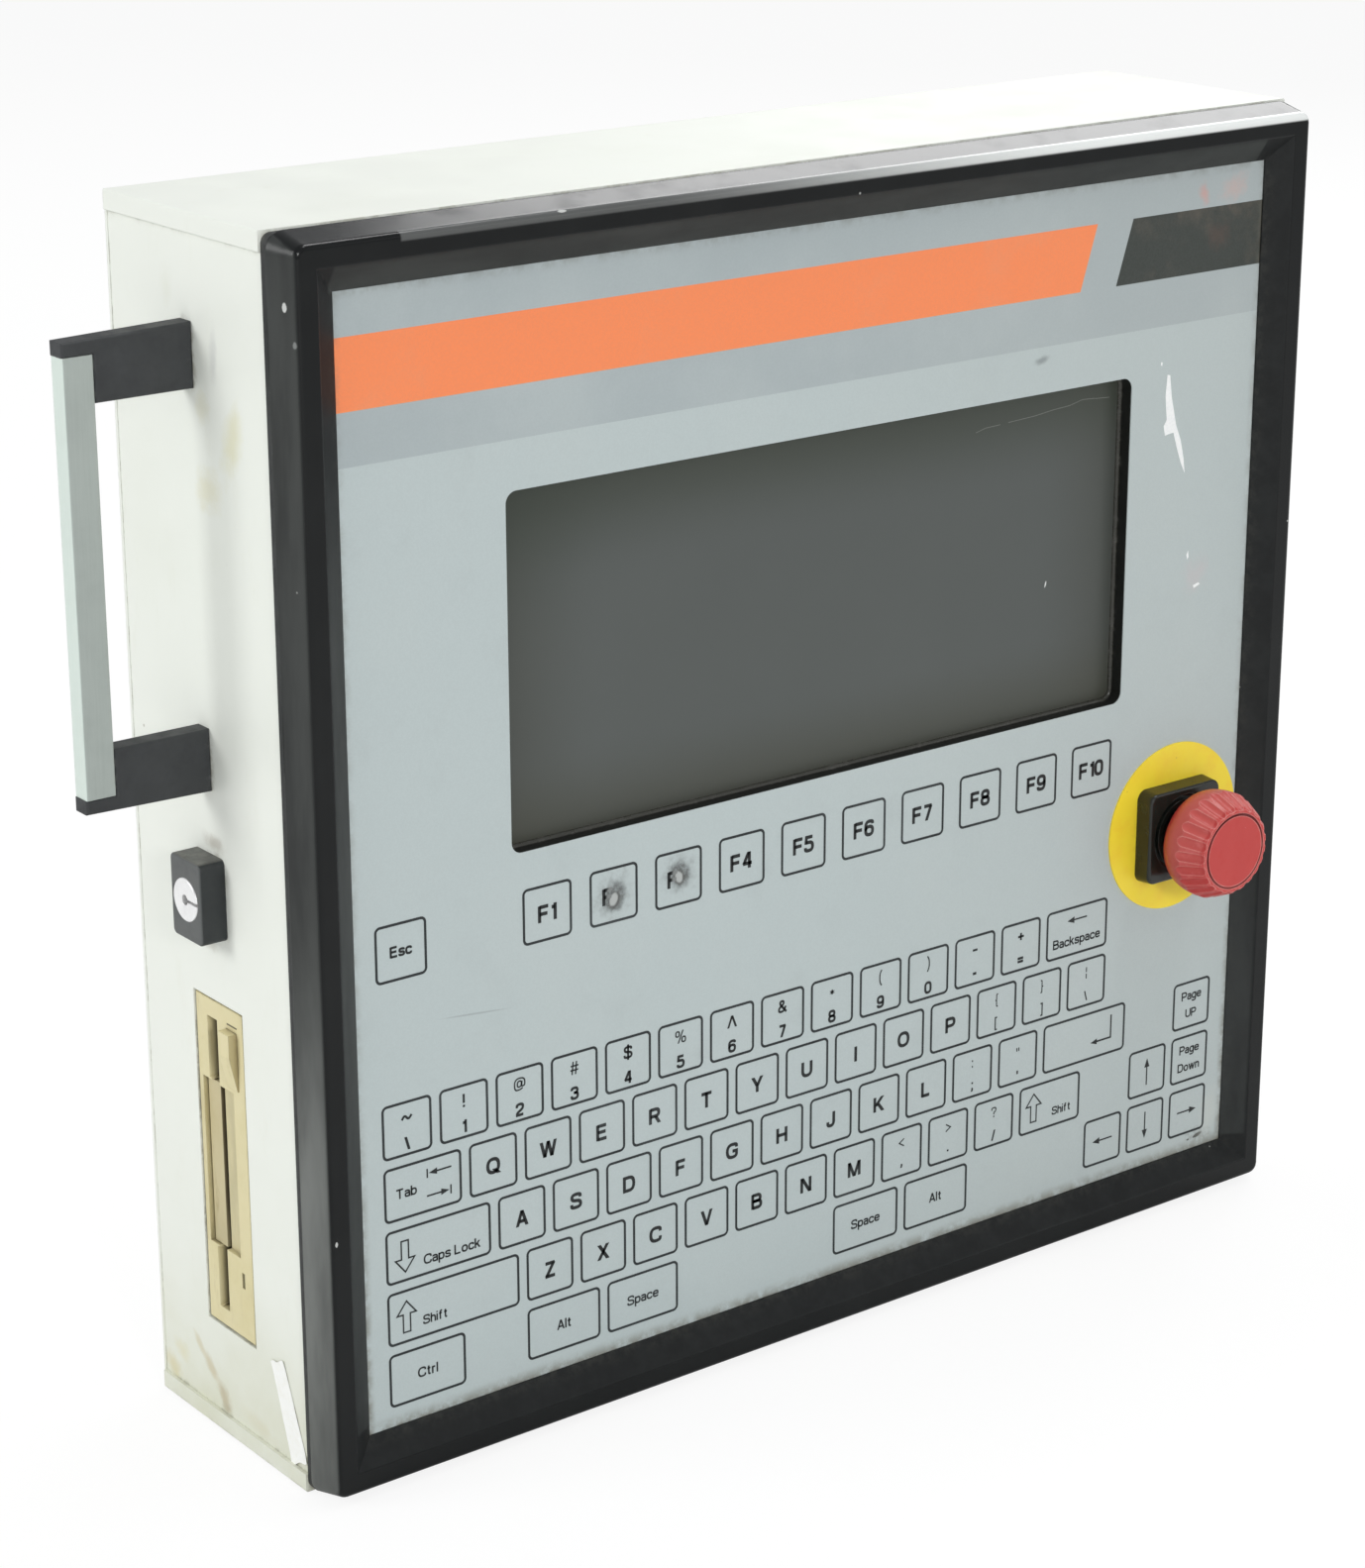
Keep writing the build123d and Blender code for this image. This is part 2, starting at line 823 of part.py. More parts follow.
# Emergency stop, turned about an axis that leaves the face at right angles
stop_plane = Plane(origin=(stop_x, face_front, stop_z), x_dir=(1, 0, 0), z_dir=(0, -1, 0))
stop_profile = Plane(origin=(stop_x, face_front, stop_z), x_dir=(1, 0, 0), z_dir=(0, 0, -1))
stop_axis = Axis((stop_x, face_front, stop_z), (0, -1, 0))
collar_front_place = stop_disc_thickness + collar_depth
barrel_end_place = stop_disc_thickness - stop_barrel_length
dish_radius = collar_size / 2 - dish_inset
head_back = collar_front_place + stop_travel + stop_room
head_front = head_back + head_length
head_max_place = head_back + head_max_rise
head_back_radius = head_max_radius - head_back_step
head_face_radius = head_max_radius - head_face_step
groove_radius = head_face_radius - groove_inset

with BuildPart() as stop_disc:
    with BuildSketch(stop_plane):
        with Locations((stop_disc_shift, stop_disc_shift)):
            Circle(stop_disc_radius)
        Circle(stop_hole_radius, mode=Mode.SUBTRACT)
    extrude(amount=stop_disc_thickness)
save(stop_disc, "stop_disc")

with BuildPart() as stop_collar:
    with BuildSketch(stop_plane.offset(stop_disc_thickness)):
        RectangleRounded(collar_size, collar_size, collar_corner)
    extrude(amount=collar_depth, taper=collar_taper)
    fillet(stop_collar.faces().sort_by(Axis.Y)[0].edges(), collar_edge)
    with BuildSketch(stop_plane.offset(collar_front_place)):
        Circle(dish_radius)
        Circle(dish_radius - dish_rim, mode=Mode.SUBTRACT)
    extrude(amount=-dish_depth / 2, mode=Mode.SUBTRACT)
    with BuildSketch(stop_plane.offset(collar_front_place)):
        Circle(dish_radius - 2 * dish_rim)
    extrude(amount=-dish_depth, mode=Mode.SUBTRACT)
    with BuildSketch(stop_plane.offset(stop_disc_thickness)):
        Circle(stop_barrel_radius)
    extrude(amount=-stop_barrel_length)
    with BuildSketch(stop_plane.offset(collar_front_place)):
        Circle(plunger_radius + running_gap)
    extrude(amount=-(collar_depth + stop_barrel_length + overrun), mode=Mode.SUBTRACT)
save(stop_collar, "stop_collar")

plate_back_place = face_front - plate_back

with BuildPart() as stop_ring:
    with BuildSketch(stop_plane.offset(plate_back_place)):
        Circle(fixing_ring_radius)
        Circle(stop_hole_radius, mode=Mode.SUBTRACT)
    extrude(amount=-fixing_ring_depth)
save(stop_ring, "stop_ring")

with BuildPart() as stop_plunger:
    with BuildSketch(stop_plane.offset(head_back)):
        Circle(plunger_radius)
    extrude(amount=barrel_end_place - head_back)
    with BuildSketch(stop_plane.offset(head_back)):
        Circle(pivot_radius)
    extrude(amount=head_bore_depth - running_gap)
save(stop_plunger, "stop_plunger")

with BuildPart() as stop_head:
    with BuildSketch(stop_profile):
        with BuildLine():
            Line((0, head_back), (head_back_radius, head_back))
            Spline(
                (head_back_radius, head_back),
                (head_max_radius, head_max_place),
                tangents=[(1, 1), (0, 1)],
            )
            Line(
                (head_max_radius, head_max_place),
                (head_face_radius + head_edge, head_front - head_edge),
            )
            Line((head_face_radius + head_edge, head_front - head_edge), (head_face_radius, head_front))
            Line((head_face_radius, head_front), (0, head_front))
            Line((0, head_front), (0, head_back))
        make_face()
    revolve(axis=stop_axis)
    with Locations(stop_plane.offset(head_back + flute_rise)):
        with PolarLocations(head_max_radius - flute_inset, flute_count):
            Cylinder(flute_radius, flute_length, rotation=(0, -flute_tilt, 0), mode=Mode.SUBTRACT)
    with BuildSketch(stop_plane.offset(head_front)):
        Circle(groove_radius + groove_width)
        Circle(groove_radius, mode=Mode.SUBTRACT)
    extrude(amount=-groove_depth, mode=Mode.SUBTRACT)
    with BuildSketch(stop_plane.offset(head_back)):
        Circle(pivot_radius + running_gap)
    extrude(amount=head_bore_depth, mode=Mode.SUBTRACT)
save(stop_head, "stop_head")

with BuildPart() as stop_contacts:
    with BuildSketch(stop_plane.offset(barrel_end_place)):
        Rectangle(contact_size, contact_size)
    extrude(amount=-contact_depth)
    with BuildSketch(stop_plane.offset(barrel_end_place)):
        Circle(plunger_radius + screw_slack)
    extrude(amount=-contact_well, mode=Mode.SUBTRACT)
save(stop_contacts, "stop_contacts")

# Handle
handle_outer = -(wall_outside + handle_reach)
bar_outer = handle_outer + cap_overhang
bar_inner = bar_outer + bar_width


def handle_bracket(middle, up):
    """Bracket with a deep arm at the wall and a thin cap over the bar's end, on the side that up says."""
    cap_face = middle + up * bracket_height / 2
    cap_seat = cap_face - up * bracket_cap
    arm_face = middle - up * bracket_height / 2
    with BuildSketch(facing(side_line)) as outline:
        with BuildLine():
            Polyline(
                (-wall_outside, cap_face),
                (handle_outer, cap_face - up * bracket_slope),
                (handle_outer, cap_seat),
                (bar_inner, cap_seat),
                (bar_inner, arm_face),
                (-wall_outside, arm_face),
                close=True,
            )
        make_face()
    extrude(outline.sketch, amount=bracket_thickness / 2, both=True)


def round_bracket(bracket):
    """Soften the long edges of a bracket and drill its screw holes."""
    fillet(bracket.faces().sort_by(Axis.Y)[0].edges(), bracket_round)
    fillet(bracket.faces().sort_by(Axis.Y)[-1].edges(), bracket_round)
    drill(beside(-wall_outside), handle_screw_places, m4_shank + screw_slack,
          handle_screw_bite + screw_slack)


with BuildPart() as handle_lower_bracket:
    handle_bracket(handle_low, -1)
    round_bracket(handle_lower_bracket)
save(handle_lower_bracket, "handle_lower_bracket")

with BuildPart() as handle_upper_bracket:
    handle_bracket(handle_high, 1)
    round_bracket(handle_upper_bracket)
save(handle_upper_bracket, "handle_upper_bracket")

bar_bottom = handle_low - bracket_height / 2 + bracket_cap
bar_top = handle_high + bracket_height / 2 - bracket_cap

with BuildPart() as handle_bar:
    with BuildSketch(above(bar_bottom)):
        with Locations(((bar_outer + bar_inner) / 2, side_line)):
            RectangleRounded(bar_width, bar_depth, bar_round)
    extrude(amount=bar_top - bar_bottom)
save(handle_bar, "handle_bar")

with BuildPart() as handle_screws:
    add_screws(beside(-wall_inside), handle_screw_places, m4_shank, m4_head, m4_head_height,
               sheet + handle_screw_bite, 1)
save(handle_screws, "handle_screws")

# Key switch
key_place = [(side_line, key_switch_height)]
key_front = -(wall_outside + key_block_proud)
lock_end = -wall_outside + lock_barrel_length
rotor_front = key_front - rotor_proud
rotor_end = lock_end - lock_contact_gap

with BuildPart() as key_block:
    with BuildSketch(beside(-wall_outside)):
        with Locations(*key_place):
            RectangleRounded(key_block_width, key_block_height, key_block_corner)
    extrude(amount=-key_block_proud)
    fillet(key_block.edges().group_by(Axis.X)[0], key_block_round)
    with BuildSketch(beside(-wall_outside)):
        with Locations(*key_place):
            Circle(lock_barrel_radius)
    extrude(amount=lock_barrel_length)
    drill(beside(key_front), key_place, rotor_radius + running_gap, lock_end - key_front + overrun)
save(key_block, "key_block")

with BuildPart() as key_rotor:
    with BuildSketch(beside(rotor_front)):
        with Locations(*key_place):
            Circle(rotor_radius)
    extrude(amount=rotor_end - rotor_front)
    fillet(key_rotor.edges().group_by(Axis.X)[0], rotor_edge)
    with BuildSketch(beside(rotor_front)):
        with Locations(*key_place):
            Circle(keyhole_radius)
        with Locations((side_line - rotor_radius / 2, key_switch_height)):
            Rectangle(rotor_radius + overrun, keyhole_slot)
    extrude(amount=keyhole_depth, mode=Mode.SUBTRACT)
save(key_rotor, "key_rotor")

with BuildPart() as key_nut:
    with BuildSketch(beside(-wall_inside)):
        with Locations(*key_place):
            RegularPolygon(lock_nut_radius, 6)
            Circle(lock_barrel_radius + lock_hole_slack, mode=Mode.SUBTRACT)
    extrude(amount=lock_nut_depth)
save(key_nut, "key_nut")

with BuildPart() as key_contacts:
    with BuildSketch(beside(lock_end)):
        with Locations(*key_place):
            Rectangle(key_block_width, key_block_height)
    extrude(amount=lock_contact_depth)
save(key_contacts, "key_contacts")

# Disk drive. Y and Z places are counted from the middle of its face.
disk_slot_place = drive_height / 2 - disk_slot_edge
disk_slot_length = drive_width - 2 * disk_slot_end
flap_length = disk_slot_length - 2 * (well_length + flap_well_gap)
flap_place = drive_height / 2 - flap_edge
button_place_y = button_edge - drive_height / 2
button_place_z = drive_width / 2 - button_end
lamp_place_y = lamp_edge - drive_height / 2
lamp_place_z = lamp_end - drive_width / 2
slot_near = disk_slot_place - disk_slot_height / 2
flap_near = flap_place - flap_height / 2
flap_far = flap_place + flap_height / 2
flap_window_near = flap_near - flap_front_gap
flap_window_far = flap_far + flap_gap
flap_window_middle = (flap_window_near + flap_window_far) / 2
flap_window_height = flap_window_far - flap_window_near
flap_window_length = flap_length + 2 * flap_gap
hinge_y = flap_far - flap_barrel_radius
hinge_x = drive_front + flap_recess + flap_barrel_radius
well_place_y = slot_near + well_height / 2
well_place_z = (disk_slot_length - well_length) / 2
ledge_middle = flap_window_near - ledge_height / 2

with BuildPart() as drive_faceplate:
    with BuildSketch(beside(drive_front)):
        with Locations((0, drive_middle)):
            Rectangle(drive_height, drive_width)
    extrude(amount=faceplate_depth)
    fillet(drive_faceplate.edges().group_by(Axis.X)[0], faceplate_round)
    with BuildSketch(beside(drive_front)):
        with Locations((disk_slot_place, drive_middle)):
            Rectangle(disk_slot_height, disk_slot_length)
        with Locations((flap_window_middle, drive_middle)):
            Rectangle(flap_window_height, flap_window_length)
        with Locations((button_place_y, drive_middle + button_place_z)):
            Rectangle(button_height + 2 * button_gap, button_length + 2 * button_gap)
        with Locations((lamp_place_y, drive_middle + lamp_place_z)):
            Rectangle(lamp_height + 2 * lamp_gap, lamp_length + 2 * lamp_gap)
    extrude(amount=faceplate_depth + overrun, mode=Mode.SUBTRACT)
    with BuildSketch(beside(drive_front)):
        with Locations(
            (well_place_y, drive_middle - well_place_z), (well_place_y, drive_middle + well_place_z)
        ):
            Rectangle(well_height, well_length)
    extrude(amount=well_depth, taper=head_taper, mode=Mode.SUBTRACT)
    with BuildSketch(beside(drive_front)):
        with Locations((ledge_middle, drive_middle)):
            Rectangle(ledge_height, flap_length)
    extrude(amount=ledge_depth, mode=Mode.SUBTRACT)
    with BuildSketch(above(drive_middle)):
        with Locations((hinge_x, hinge_y)):
            Circle(flap_pin_radius + running_gap)
    extrude(amount=flap_length / 2 + flap_pin_length + flap_gap, both=True, mode=Mode.SUBTRACT)
save(drive_faceplate, "drive_faceplate")

with BuildPart() as drive_flap:
    with BuildSketch(beside(drive_front + flap_recess)):
        with Locations(((flap_near + hinge_y) / 2, drive_middle)):
            Rectangle(hinge_y - flap_near, flap_length)
    extrude(amount=flap_thickness)
    with BuildSketch(above(drive_middle)):
        with Locations((hinge_x, hinge_y)):
            Circle(flap_barrel_radius)
    extrude(amount=flap_length / 2, both=True)
    with BuildSketch(above(drive_middle)):
        with Locations((hinge_x, hinge_y)):
            Circle(flap_pin_radius)
    extrude(amount=flap_length / 2 + flap_pin_length, both=True)
save(drive_flap, "drive_flap")

button_back = faceplate_back + button_stem
button_low = drive_middle + button_place_z - button_length / 2
button_high = button_low + button_length

with BuildPart() as drive_button:
    with BuildSketch(Plane.XZ.offset(-(button_place_y - button_height / 2))):
        with BuildLine():
            Polyline(
                (button_back, button_low),
                (drive_front - button_low_proud, button_low),
                (drive_front - button_proud, button_high - button_flat),
                (drive_front - button_proud, button_high),
                (button_back, button_high),
                close=True,
            )
        make_face()
    extrude(amount=-button_height)
save(drive_button, "drive_button")

with BuildPart() as drive_lamp:
    with BuildSketch(beside(faceplate_back)):
        with Locations((lamp_place_y, drive_middle + lamp_place_z)):
            Rectangle(lamp_height, lamp_length)
    extrude(amount=-(faceplate_depth - lamp_recess))
save(drive_lamp, "drive_lamp")

drive_screw_xs = [faceplate_back + drive_screw_inset, faceplate_back + drive_screw_inset + drive_screw_pitch]
drive_screw_places = [(x, 0) for x in drive_screw_xs]

with BuildPart() as drive_body:
    with BuildSketch(beside(faceplate_back)):
        with Locations((0, drive_middle)):
            Rectangle(drive_height, drive_width)
    extrude(amount=drive_end - faceplate_back)
    with BuildSketch(beside(faceplate_back)):
        with Locations((disk_slot_place, drive_middle)):
            Rectangle(disk_slot_height + 2 * disk_channel_slack, disk_slot_length + 2 * disk_channel_slack)
    extrude(amount=disk_channel_depth, mode=Mode.SUBTRACT)
    with BuildSketch(beside(faceplate_back)):
        with Locations((flap_window_middle, drive_middle)):
            Rectangle(flap_window_height, flap_window_length)
    extrude(amount=flap_pocket_depth, mode=Mode.SUBTRACT)
    with BuildSketch(beside(faceplate_back)):
        with Locations((button_place_y, drive_middle + button_place_z)):
            Rectangle(button_height + 2 * button_gap, button_length + 2 * button_gap)
    extrude(amount=button_stem + button_travel + button_well_room, mode=Mode.SUBTRACT)
    with BuildSketch(beside(drive_end)):
        with Locations((drive_ribbon_y, drive_middle)):
            Rectangle(drive_plug_height, drive_plug_width)
    extrude(amount=drive_plug_depth)
    drill(above(drive_top), drive_screw_places, m3_shank + screw_slack, drive_screw_bite + screw_slack)
    drill(above(drive_bottom), drive_screw_places, m3_shank + screw_slack, drive_screw_bite + screw_slack)
save(drive_body, "drive_body")

bracket_web = drive_height / 2 + bracket_web_gap
bracket_start = faceplate_back + drive_cutout_gap
bracket_end = bracket_start + bracket_run

with BuildPart() as drive_bracket:
    with BuildSketch(above(drive_bottom - sheet)):
        with Locations(((bracket_start + bracket_end) / 2, bracket_web + sheet - bracket_reach / 2)):
            Rectangle(bracket_run, bracket_reach)
    extrude(amount=sheet)
    with BuildSketch(above(drive_top)):
        with Locations(((bracket_start + bracket_end) / 2, bracket_web + sheet - bracket_reach / 2)):
            Rectangle(bracket_run, bracket_reach)
    extrude(amount=sheet)
    with BuildSketch(above(drive_bottom - sheet)):
        with Locations(((bracket_end - wall_inside) / 2, bracket_web + sheet / 2)):
            Rectangle(bracket_end + wall_inside, sheet)
        with Locations((-wall_inside + sheet / 2, bracket_web + bracket_foot / 2)):
            Rectangle(sheet, bracket_foot)
    extrude(amount=drive_width + 2 * sheet)
    drill(above(drive_top), drive_screw_places, m3_shank + screw_slack, sheet + overrun)
    drill(above(drive_bottom), drive_screw_places, m3_shank + screw_slack, sheet + overrun)
save(drive_bracket, "drive_bracket")

with BuildPart() as drive_screws:
    add_screws(above(drive_top + sheet), drive_screw_places, m3_shank, m3_head, m3_head_height,
               sheet + drive_screw_bite, 1)
    add_screws(above(drive_bottom - sheet), drive_screw_places, m3_shank, m3_head, m3_head_height,
               sheet + drive_screw_bite, -1)
save(drive_screws, "drive_screws")

# Power supply, support arm plate, cable entry and earth stud on the bottom tray
supply_left = arm_plate_width / 2 + supply_plate_gap
supply_base_width = wall_inside - supply_wall_gap - supply_left
supply_x = supply_left + supply_base_width / 2
supply_width = supply_base_width - 2 * supply_base_lap
supply_depth = housing_depth - 2 * supply_inset
stud_places = [
    (supply_x + side * (supply_base_width / 2 - stud_hole_inset), end * (supply_depth / 2 - stud_hole_inset))
    for side in (-1, 1)
    for end in (-1, 1)
]

with BuildPart() as power_supply:
    with BuildSketch(above(sheet)):
        with Locations((supply_x, 0)):
            Rectangle(supply_width, supply_depth)
    extrude(amount=supply_height)
    fillet(power_supply.edges().group_by(Axis.Z)[-1], supply_round)
    with BuildSketch(above(sheet)):
        with Locations((supply_x, 0)):
            Rectangle(supply_base_width, supply_depth)
    extrude(amount=supply_base)
    with BuildSketch(above(sheet + supply_height)):
        with Locations((supply_x, 0)):
            with GridLocations(supply_vent_pitch, 0, supply_vent_count, 1):
                Rectangle(supply_vent_width, supply_vent_length)
    extrude(amount=-supply_vent_depth, mode=Mode.SUBTRACT)
    drill(above(sheet), stud_places, m4_shank + screw_slack, supply_base + overrun)
save(power_supply, "power_supply")

with BuildPart() as supply_studs:
    with BuildSketch(above(sheet)):
        with Locations(*stud_places):
            Circle(m4_shank)
    extrude(amount=stud_height)
save(supply_studs, "supply_studs")

with BuildPart() as supply_nuts:
    add_nuts(above(sheet + supply_base), stud_places, m4_shank, 1)
save(supply_nuts, "supply_nuts")

with BuildPart() as arm_plate:
    with BuildSketch(above(sheet)):
        RectangleRounded(arm_plate_width, arm_plate_depth, arm_plate_corner)
    extrude(amount=arm_plate_thickness)
    drill(above(sheet), arm_places, arm_hole_radius, arm_plate_thickness + overrun)
    drill(above(sheet), [(0, 0)], grommet_seat_radius, arm_plate_thickness + overrun)
save(arm_plate, "arm_plate")

grommet_seat = sheet + arm_plate_thickness

with BuildPart() as cable_grommet:
    with BuildSketch(above(0)):
        Circle(grommet_seat_radius)
    extrude(amount=grommet_seat)
    with BuildSketch(above(grommet_seat)):
        Circle(grommet_seat_radius + grommet_lip)
    extrude(amount=grommet_lip_height)
    drill(above(0), [(0, 0)], entry_radius, grommet_seat + grommet_lip_height + overrun)
save(cable_grommet, "cable_grommet")

earth_place = [(earth_side - wall_inside, housing_back - earth_end)]

with BuildPart() as earth_stud:
    with BuildSketch(above(sheet)):
        with Locations(*earth_place):
            Circle(m6_shank)
    extrude(amount=earth_height)
save(earth_stud, "earth_stud")

with BuildPart() as earth_nut:
    with BuildSketch(above(sheet)):
        with Locations(*earth_place):
            Circle(m6_shank * washer_share)
            Circle(m6_shank + screw_slack, mode=Mode.SUBTRACT)
    extrude(amount=washer_height)
    add_nuts(above(sheet + washer_height), earth_place, m6_shank, 1)
save(earth_nut, "earth_nut")
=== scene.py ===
import bpy
from math import cos, hypot, pi, radians, sin
from mathutils import Matrix, Vector


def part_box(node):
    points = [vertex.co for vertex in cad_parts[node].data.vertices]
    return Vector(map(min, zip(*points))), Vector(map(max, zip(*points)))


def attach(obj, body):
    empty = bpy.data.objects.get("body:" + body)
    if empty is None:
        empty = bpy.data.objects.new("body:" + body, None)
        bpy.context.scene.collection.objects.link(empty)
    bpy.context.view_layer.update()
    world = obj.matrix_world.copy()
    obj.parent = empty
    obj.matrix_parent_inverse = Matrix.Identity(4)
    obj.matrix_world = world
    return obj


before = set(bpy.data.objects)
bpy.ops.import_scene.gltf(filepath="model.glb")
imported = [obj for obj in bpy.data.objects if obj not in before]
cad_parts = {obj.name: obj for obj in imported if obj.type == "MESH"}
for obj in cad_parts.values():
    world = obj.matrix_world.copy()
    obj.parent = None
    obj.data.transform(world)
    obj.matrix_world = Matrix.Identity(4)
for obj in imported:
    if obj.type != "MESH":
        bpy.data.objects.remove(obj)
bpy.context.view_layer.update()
scene = bpy.context.scene
MM = 0.001

overlay_low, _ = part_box("front_overlay")
glass_low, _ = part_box("display_glass")
wall_low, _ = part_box("left_wall")
trim_low, trim_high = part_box("window_trim")
FACE_Y = overlay_low.y
# How far the bumper grips over the edge of the foil
GRIP = 3 * MM
FACE_X = overlay_low.x + GRIP
FACE_Z = overlay_low.z + GRIP
PRINT_LIFT = 0.04 * MM


# Camera as solved from the photo: angles round Z from straight in front, up, and of roll; place in metres
CAMERA_ANGLES = (-37.2192, 18.6381, -0.161)
CAMERA_PLACE = (-0.66704, -0.85242, 0.52798)
CAMERA_LENS = 85.87


def make_camera():
    azimuth, elevation, roll = (radians(angle) for angle in CAMERA_ANGLES)
    back = Vector((sin(azimuth) * cos(elevation), -cos(azimuth) * cos(elevation), sin(elevation)))
    level_right = Vector((0, 0, 1)).cross(back).normalized()
    level_up = back.cross(level_right)
    right = cos(roll) * level_right + sin(roll) * level_up
    up = cos(roll) * level_up - sin(roll) * level_right
    data = bpy.data.cameras.new("camera")
    data.lens = CAMERA_LENS
    data.sensor_width = 36
    data.clip_start = 0.05
    data.clip_end = 60
    camera = bpy.data.objects.new("camera", data)
    turn = Matrix((right, up, back)).transposed().to_4x4()
    camera.matrix_world = Matrix.Translation(CAMERA_PLACE) @ turn
    scene.collection.objects.link(camera)
    scene.camera = camera


make_camera()


def shade_of(color):
    """Linear colour of one given as it looks on a screen, 0 to 255."""
    return tuple((c / 255 / 12.92) if c <= 10 else ((c / 255 + 0.055) / 1.055) ** 2.4 for c in color) + (1,)


def scaled(color, factor, more=0):
    return tuple(min(255, c * factor + more) for c in color)


def fill(tree, node, values):
    """Fill inputs of a node, by name or number, each from a socket or with a plain value."""
    for name, value in values.items():
        if isinstance(value, bpy.types.NodeSocket):
            tree.links.new(value, node.inputs[name])
        else:
            node.inputs[name].default_value = value


def add_node(tree, kind, values=None, **settings):
    made = tree.nodes.new("ShaderNode" + kind)
    for name, value in settings.items():
        setattr(made, name, value)
    fill(tree, made, values or {})
    return made


# Half extent of a blot on the axis that it is seen along
ALL = 1e5


class Finish:
    """One procedural material. Places and sizes are millimetres in the frame of the part."""

    def __init__(self, name, color, roughness, **values):
        self.material = bpy.data.materials.new(name)
        self.material.use_nodes = True
        self.tree = self.material.node_tree
        self.shader = self.tree.nodes["Principled BSDF"]
        self.color, self.rough = shade_of(color), roughness
        fill(self.tree, self.shader, {"Base Color": self.color, "Roughness": roughness, **values})
        place = self.node("TexCoord").outputs["Object"]
        scaled_place = self.node("VectorMath", {0: place, "Scale": 1 / MM}, operation="SCALE")
        self.place = scaled_place.outputs[0]
        self.x, self.y, self.z = self.node("SeparateXYZ", {0: self.place}).outputs

    def node(self, kind, values=None, **settings):
        return add_node(self.tree, kind, values, **settings)

    def math(self, operation, *values):
        return self.node("Math", dict(enumerate(values)), operation=operation).outputs[0]

    def times(self, *values):
        total = values[0]
        for value in values[1:]:
            total = self.math("MULTIPLY", total, value)
        return total

    def ramp(self, value, low, high, start=0.0, end=1.0):
        """Smooth step from start at low to end at high."""
        values = dict(enumerate((value, low, high, start, end)))
        return self.node("MapRange", values, interpolation_type="SMOOTHSTEP").outputs[0]

    def texture(self, kind, size, stretch, shift, values=None, **settings):
        """Texture whose grain is about size across, drawn out along an axis by stretch."""
        mapping = self.node("Mapping", {"Vector": self.place, "Location": (shift, shift, shift),
                                                  "Scale": tuple(1 / (size * s) for s in stretch)})
        return self.node(kind, {"Vector": mapping.outputs[0], "Scale": 1.0, **(values or {})}, **settings)

    def noise(self, size, detail=3.0, roughness=0.55, distortion=0.0, stretch=(1, 1, 1), shift=0.0):
        """Cloudy pattern whose blots are about size across."""
        values = {"Detail": detail, "Roughness": roughness, "Distortion": distortion}
        return self.texture("TexNoise", size, stretch, shift, values).outputs[0]

    def cloud(self, span, *pattern, **more):
        """Noise through a ramp, with span as its low, high, start and end."""
        return self.ramp(self.noise(*pattern, **more), *span)

    def specks(self, size, share, stretch=(1, 1, 1), shift=0.0):
        """Sparse dots about size apart, their radius a share of that."""
        dots = self.texture("TexVoronoi", size, stretch, shift, feature="F1")
        return self.ramp(dots.outputs["Distance"], share * 0.5, share, 1.0, 0.0)

    def box(self, low, high, soft=0.05):
        """1 inside the box between two corners. None leaves a side open."""
        mask = None
        for axis, lowest, highest in zip((self.x, self.y, self.z), low, high):
            for limit, sign in ((lowest, 1), (highest, -1)):
                if limit is not None:
                    edge = self.ramp(axis, limit - soft, limit + soft, 0.5 - sign * 0.5, 0.5 + sign * 0.5)
                    mask = edge if mask is None else self.times(mask, edge)
        return mask

    def blot(self, centre, size, tilt=0.0, rag=0.35, grain=4.0, soft=0.4):
        """Ragged patch. Size is its half extents, tilt turns it about the one that is ALL, or else about Y."""
        moved = self.node("VectorMath", {0: self.place, 1: centre}, operation="SUBTRACT")
        turn = [0.0, 0.0, 0.0]
        turn[size.index(ALL) if ALL in size else 1] = radians(tilt)
        turned = self.node("Mapping", {"Vector": moved.outputs[0], "Rotation": turn, "Scale": size},
                           vector_type="TEXTURE")
        length = self.node("VectorMath", {0: turned.outputs[0]}, operation="LENGTH")
        ragged = self.math("MULTIPLY_ADD", self.noise(grain, 4.0, 0.65), rag * 2, length.outputs["Value"])
        return self.ramp(ragged, 1.0 - soft + rag, 1.0 + rag, 1.0, 0.0)

    def tint(self, color, *masks):
        """Lay a colour over what is there, as strongly as all the masks leave it."""
        values = {0: self.times(*masks), 6: self.color, 7: shade_of(color)}
        self.color = self.node("Mix", values, data_type="RGBA").outputs[2]
        fill(self.tree, self.shader, {"Base Color": self.color})

    def spots(self, rows):
        """Tint with one blot a row: what blot takes, then strength and colour."""
        for *patch, amount, color in rows:
            self.tint(color, self.blot(*patch), amount)

    def roughen(self, mask, roughness):
        values = {0: mask, 2: self.rough, 3: roughness}
        self.rough = self.node("Mix", values, data_type="FLOAT").outputs[0]
        fill(self.tree, self.shader, {"Roughness": self.rough})

    def edges(self, radius):
        """0 on flat faces to 1 on sharp edges."""
        bevel = self.node("Bevel", {"Radius": radius * MM}, samples=6)
        normal = self.node("NewGeometry").outputs["Normal"]
        dot = self.node("VectorMath", {0: bevel.outputs[0], 1: normal}, operation="DOT_PRODUCT")
        return self.ramp(dot.outputs["Value"], 0.99, 0.8)

    def corners(self, reach, open_from, deep_from):
        """0 in the open to 1 in a corner, between two shares of open sky within reach."""
        sky = self.node("AmbientOcclusion", {"Distance": reach * MM}, samples=6).outputs["AO"]
        return self.ramp(sky, open_from, deep_from)

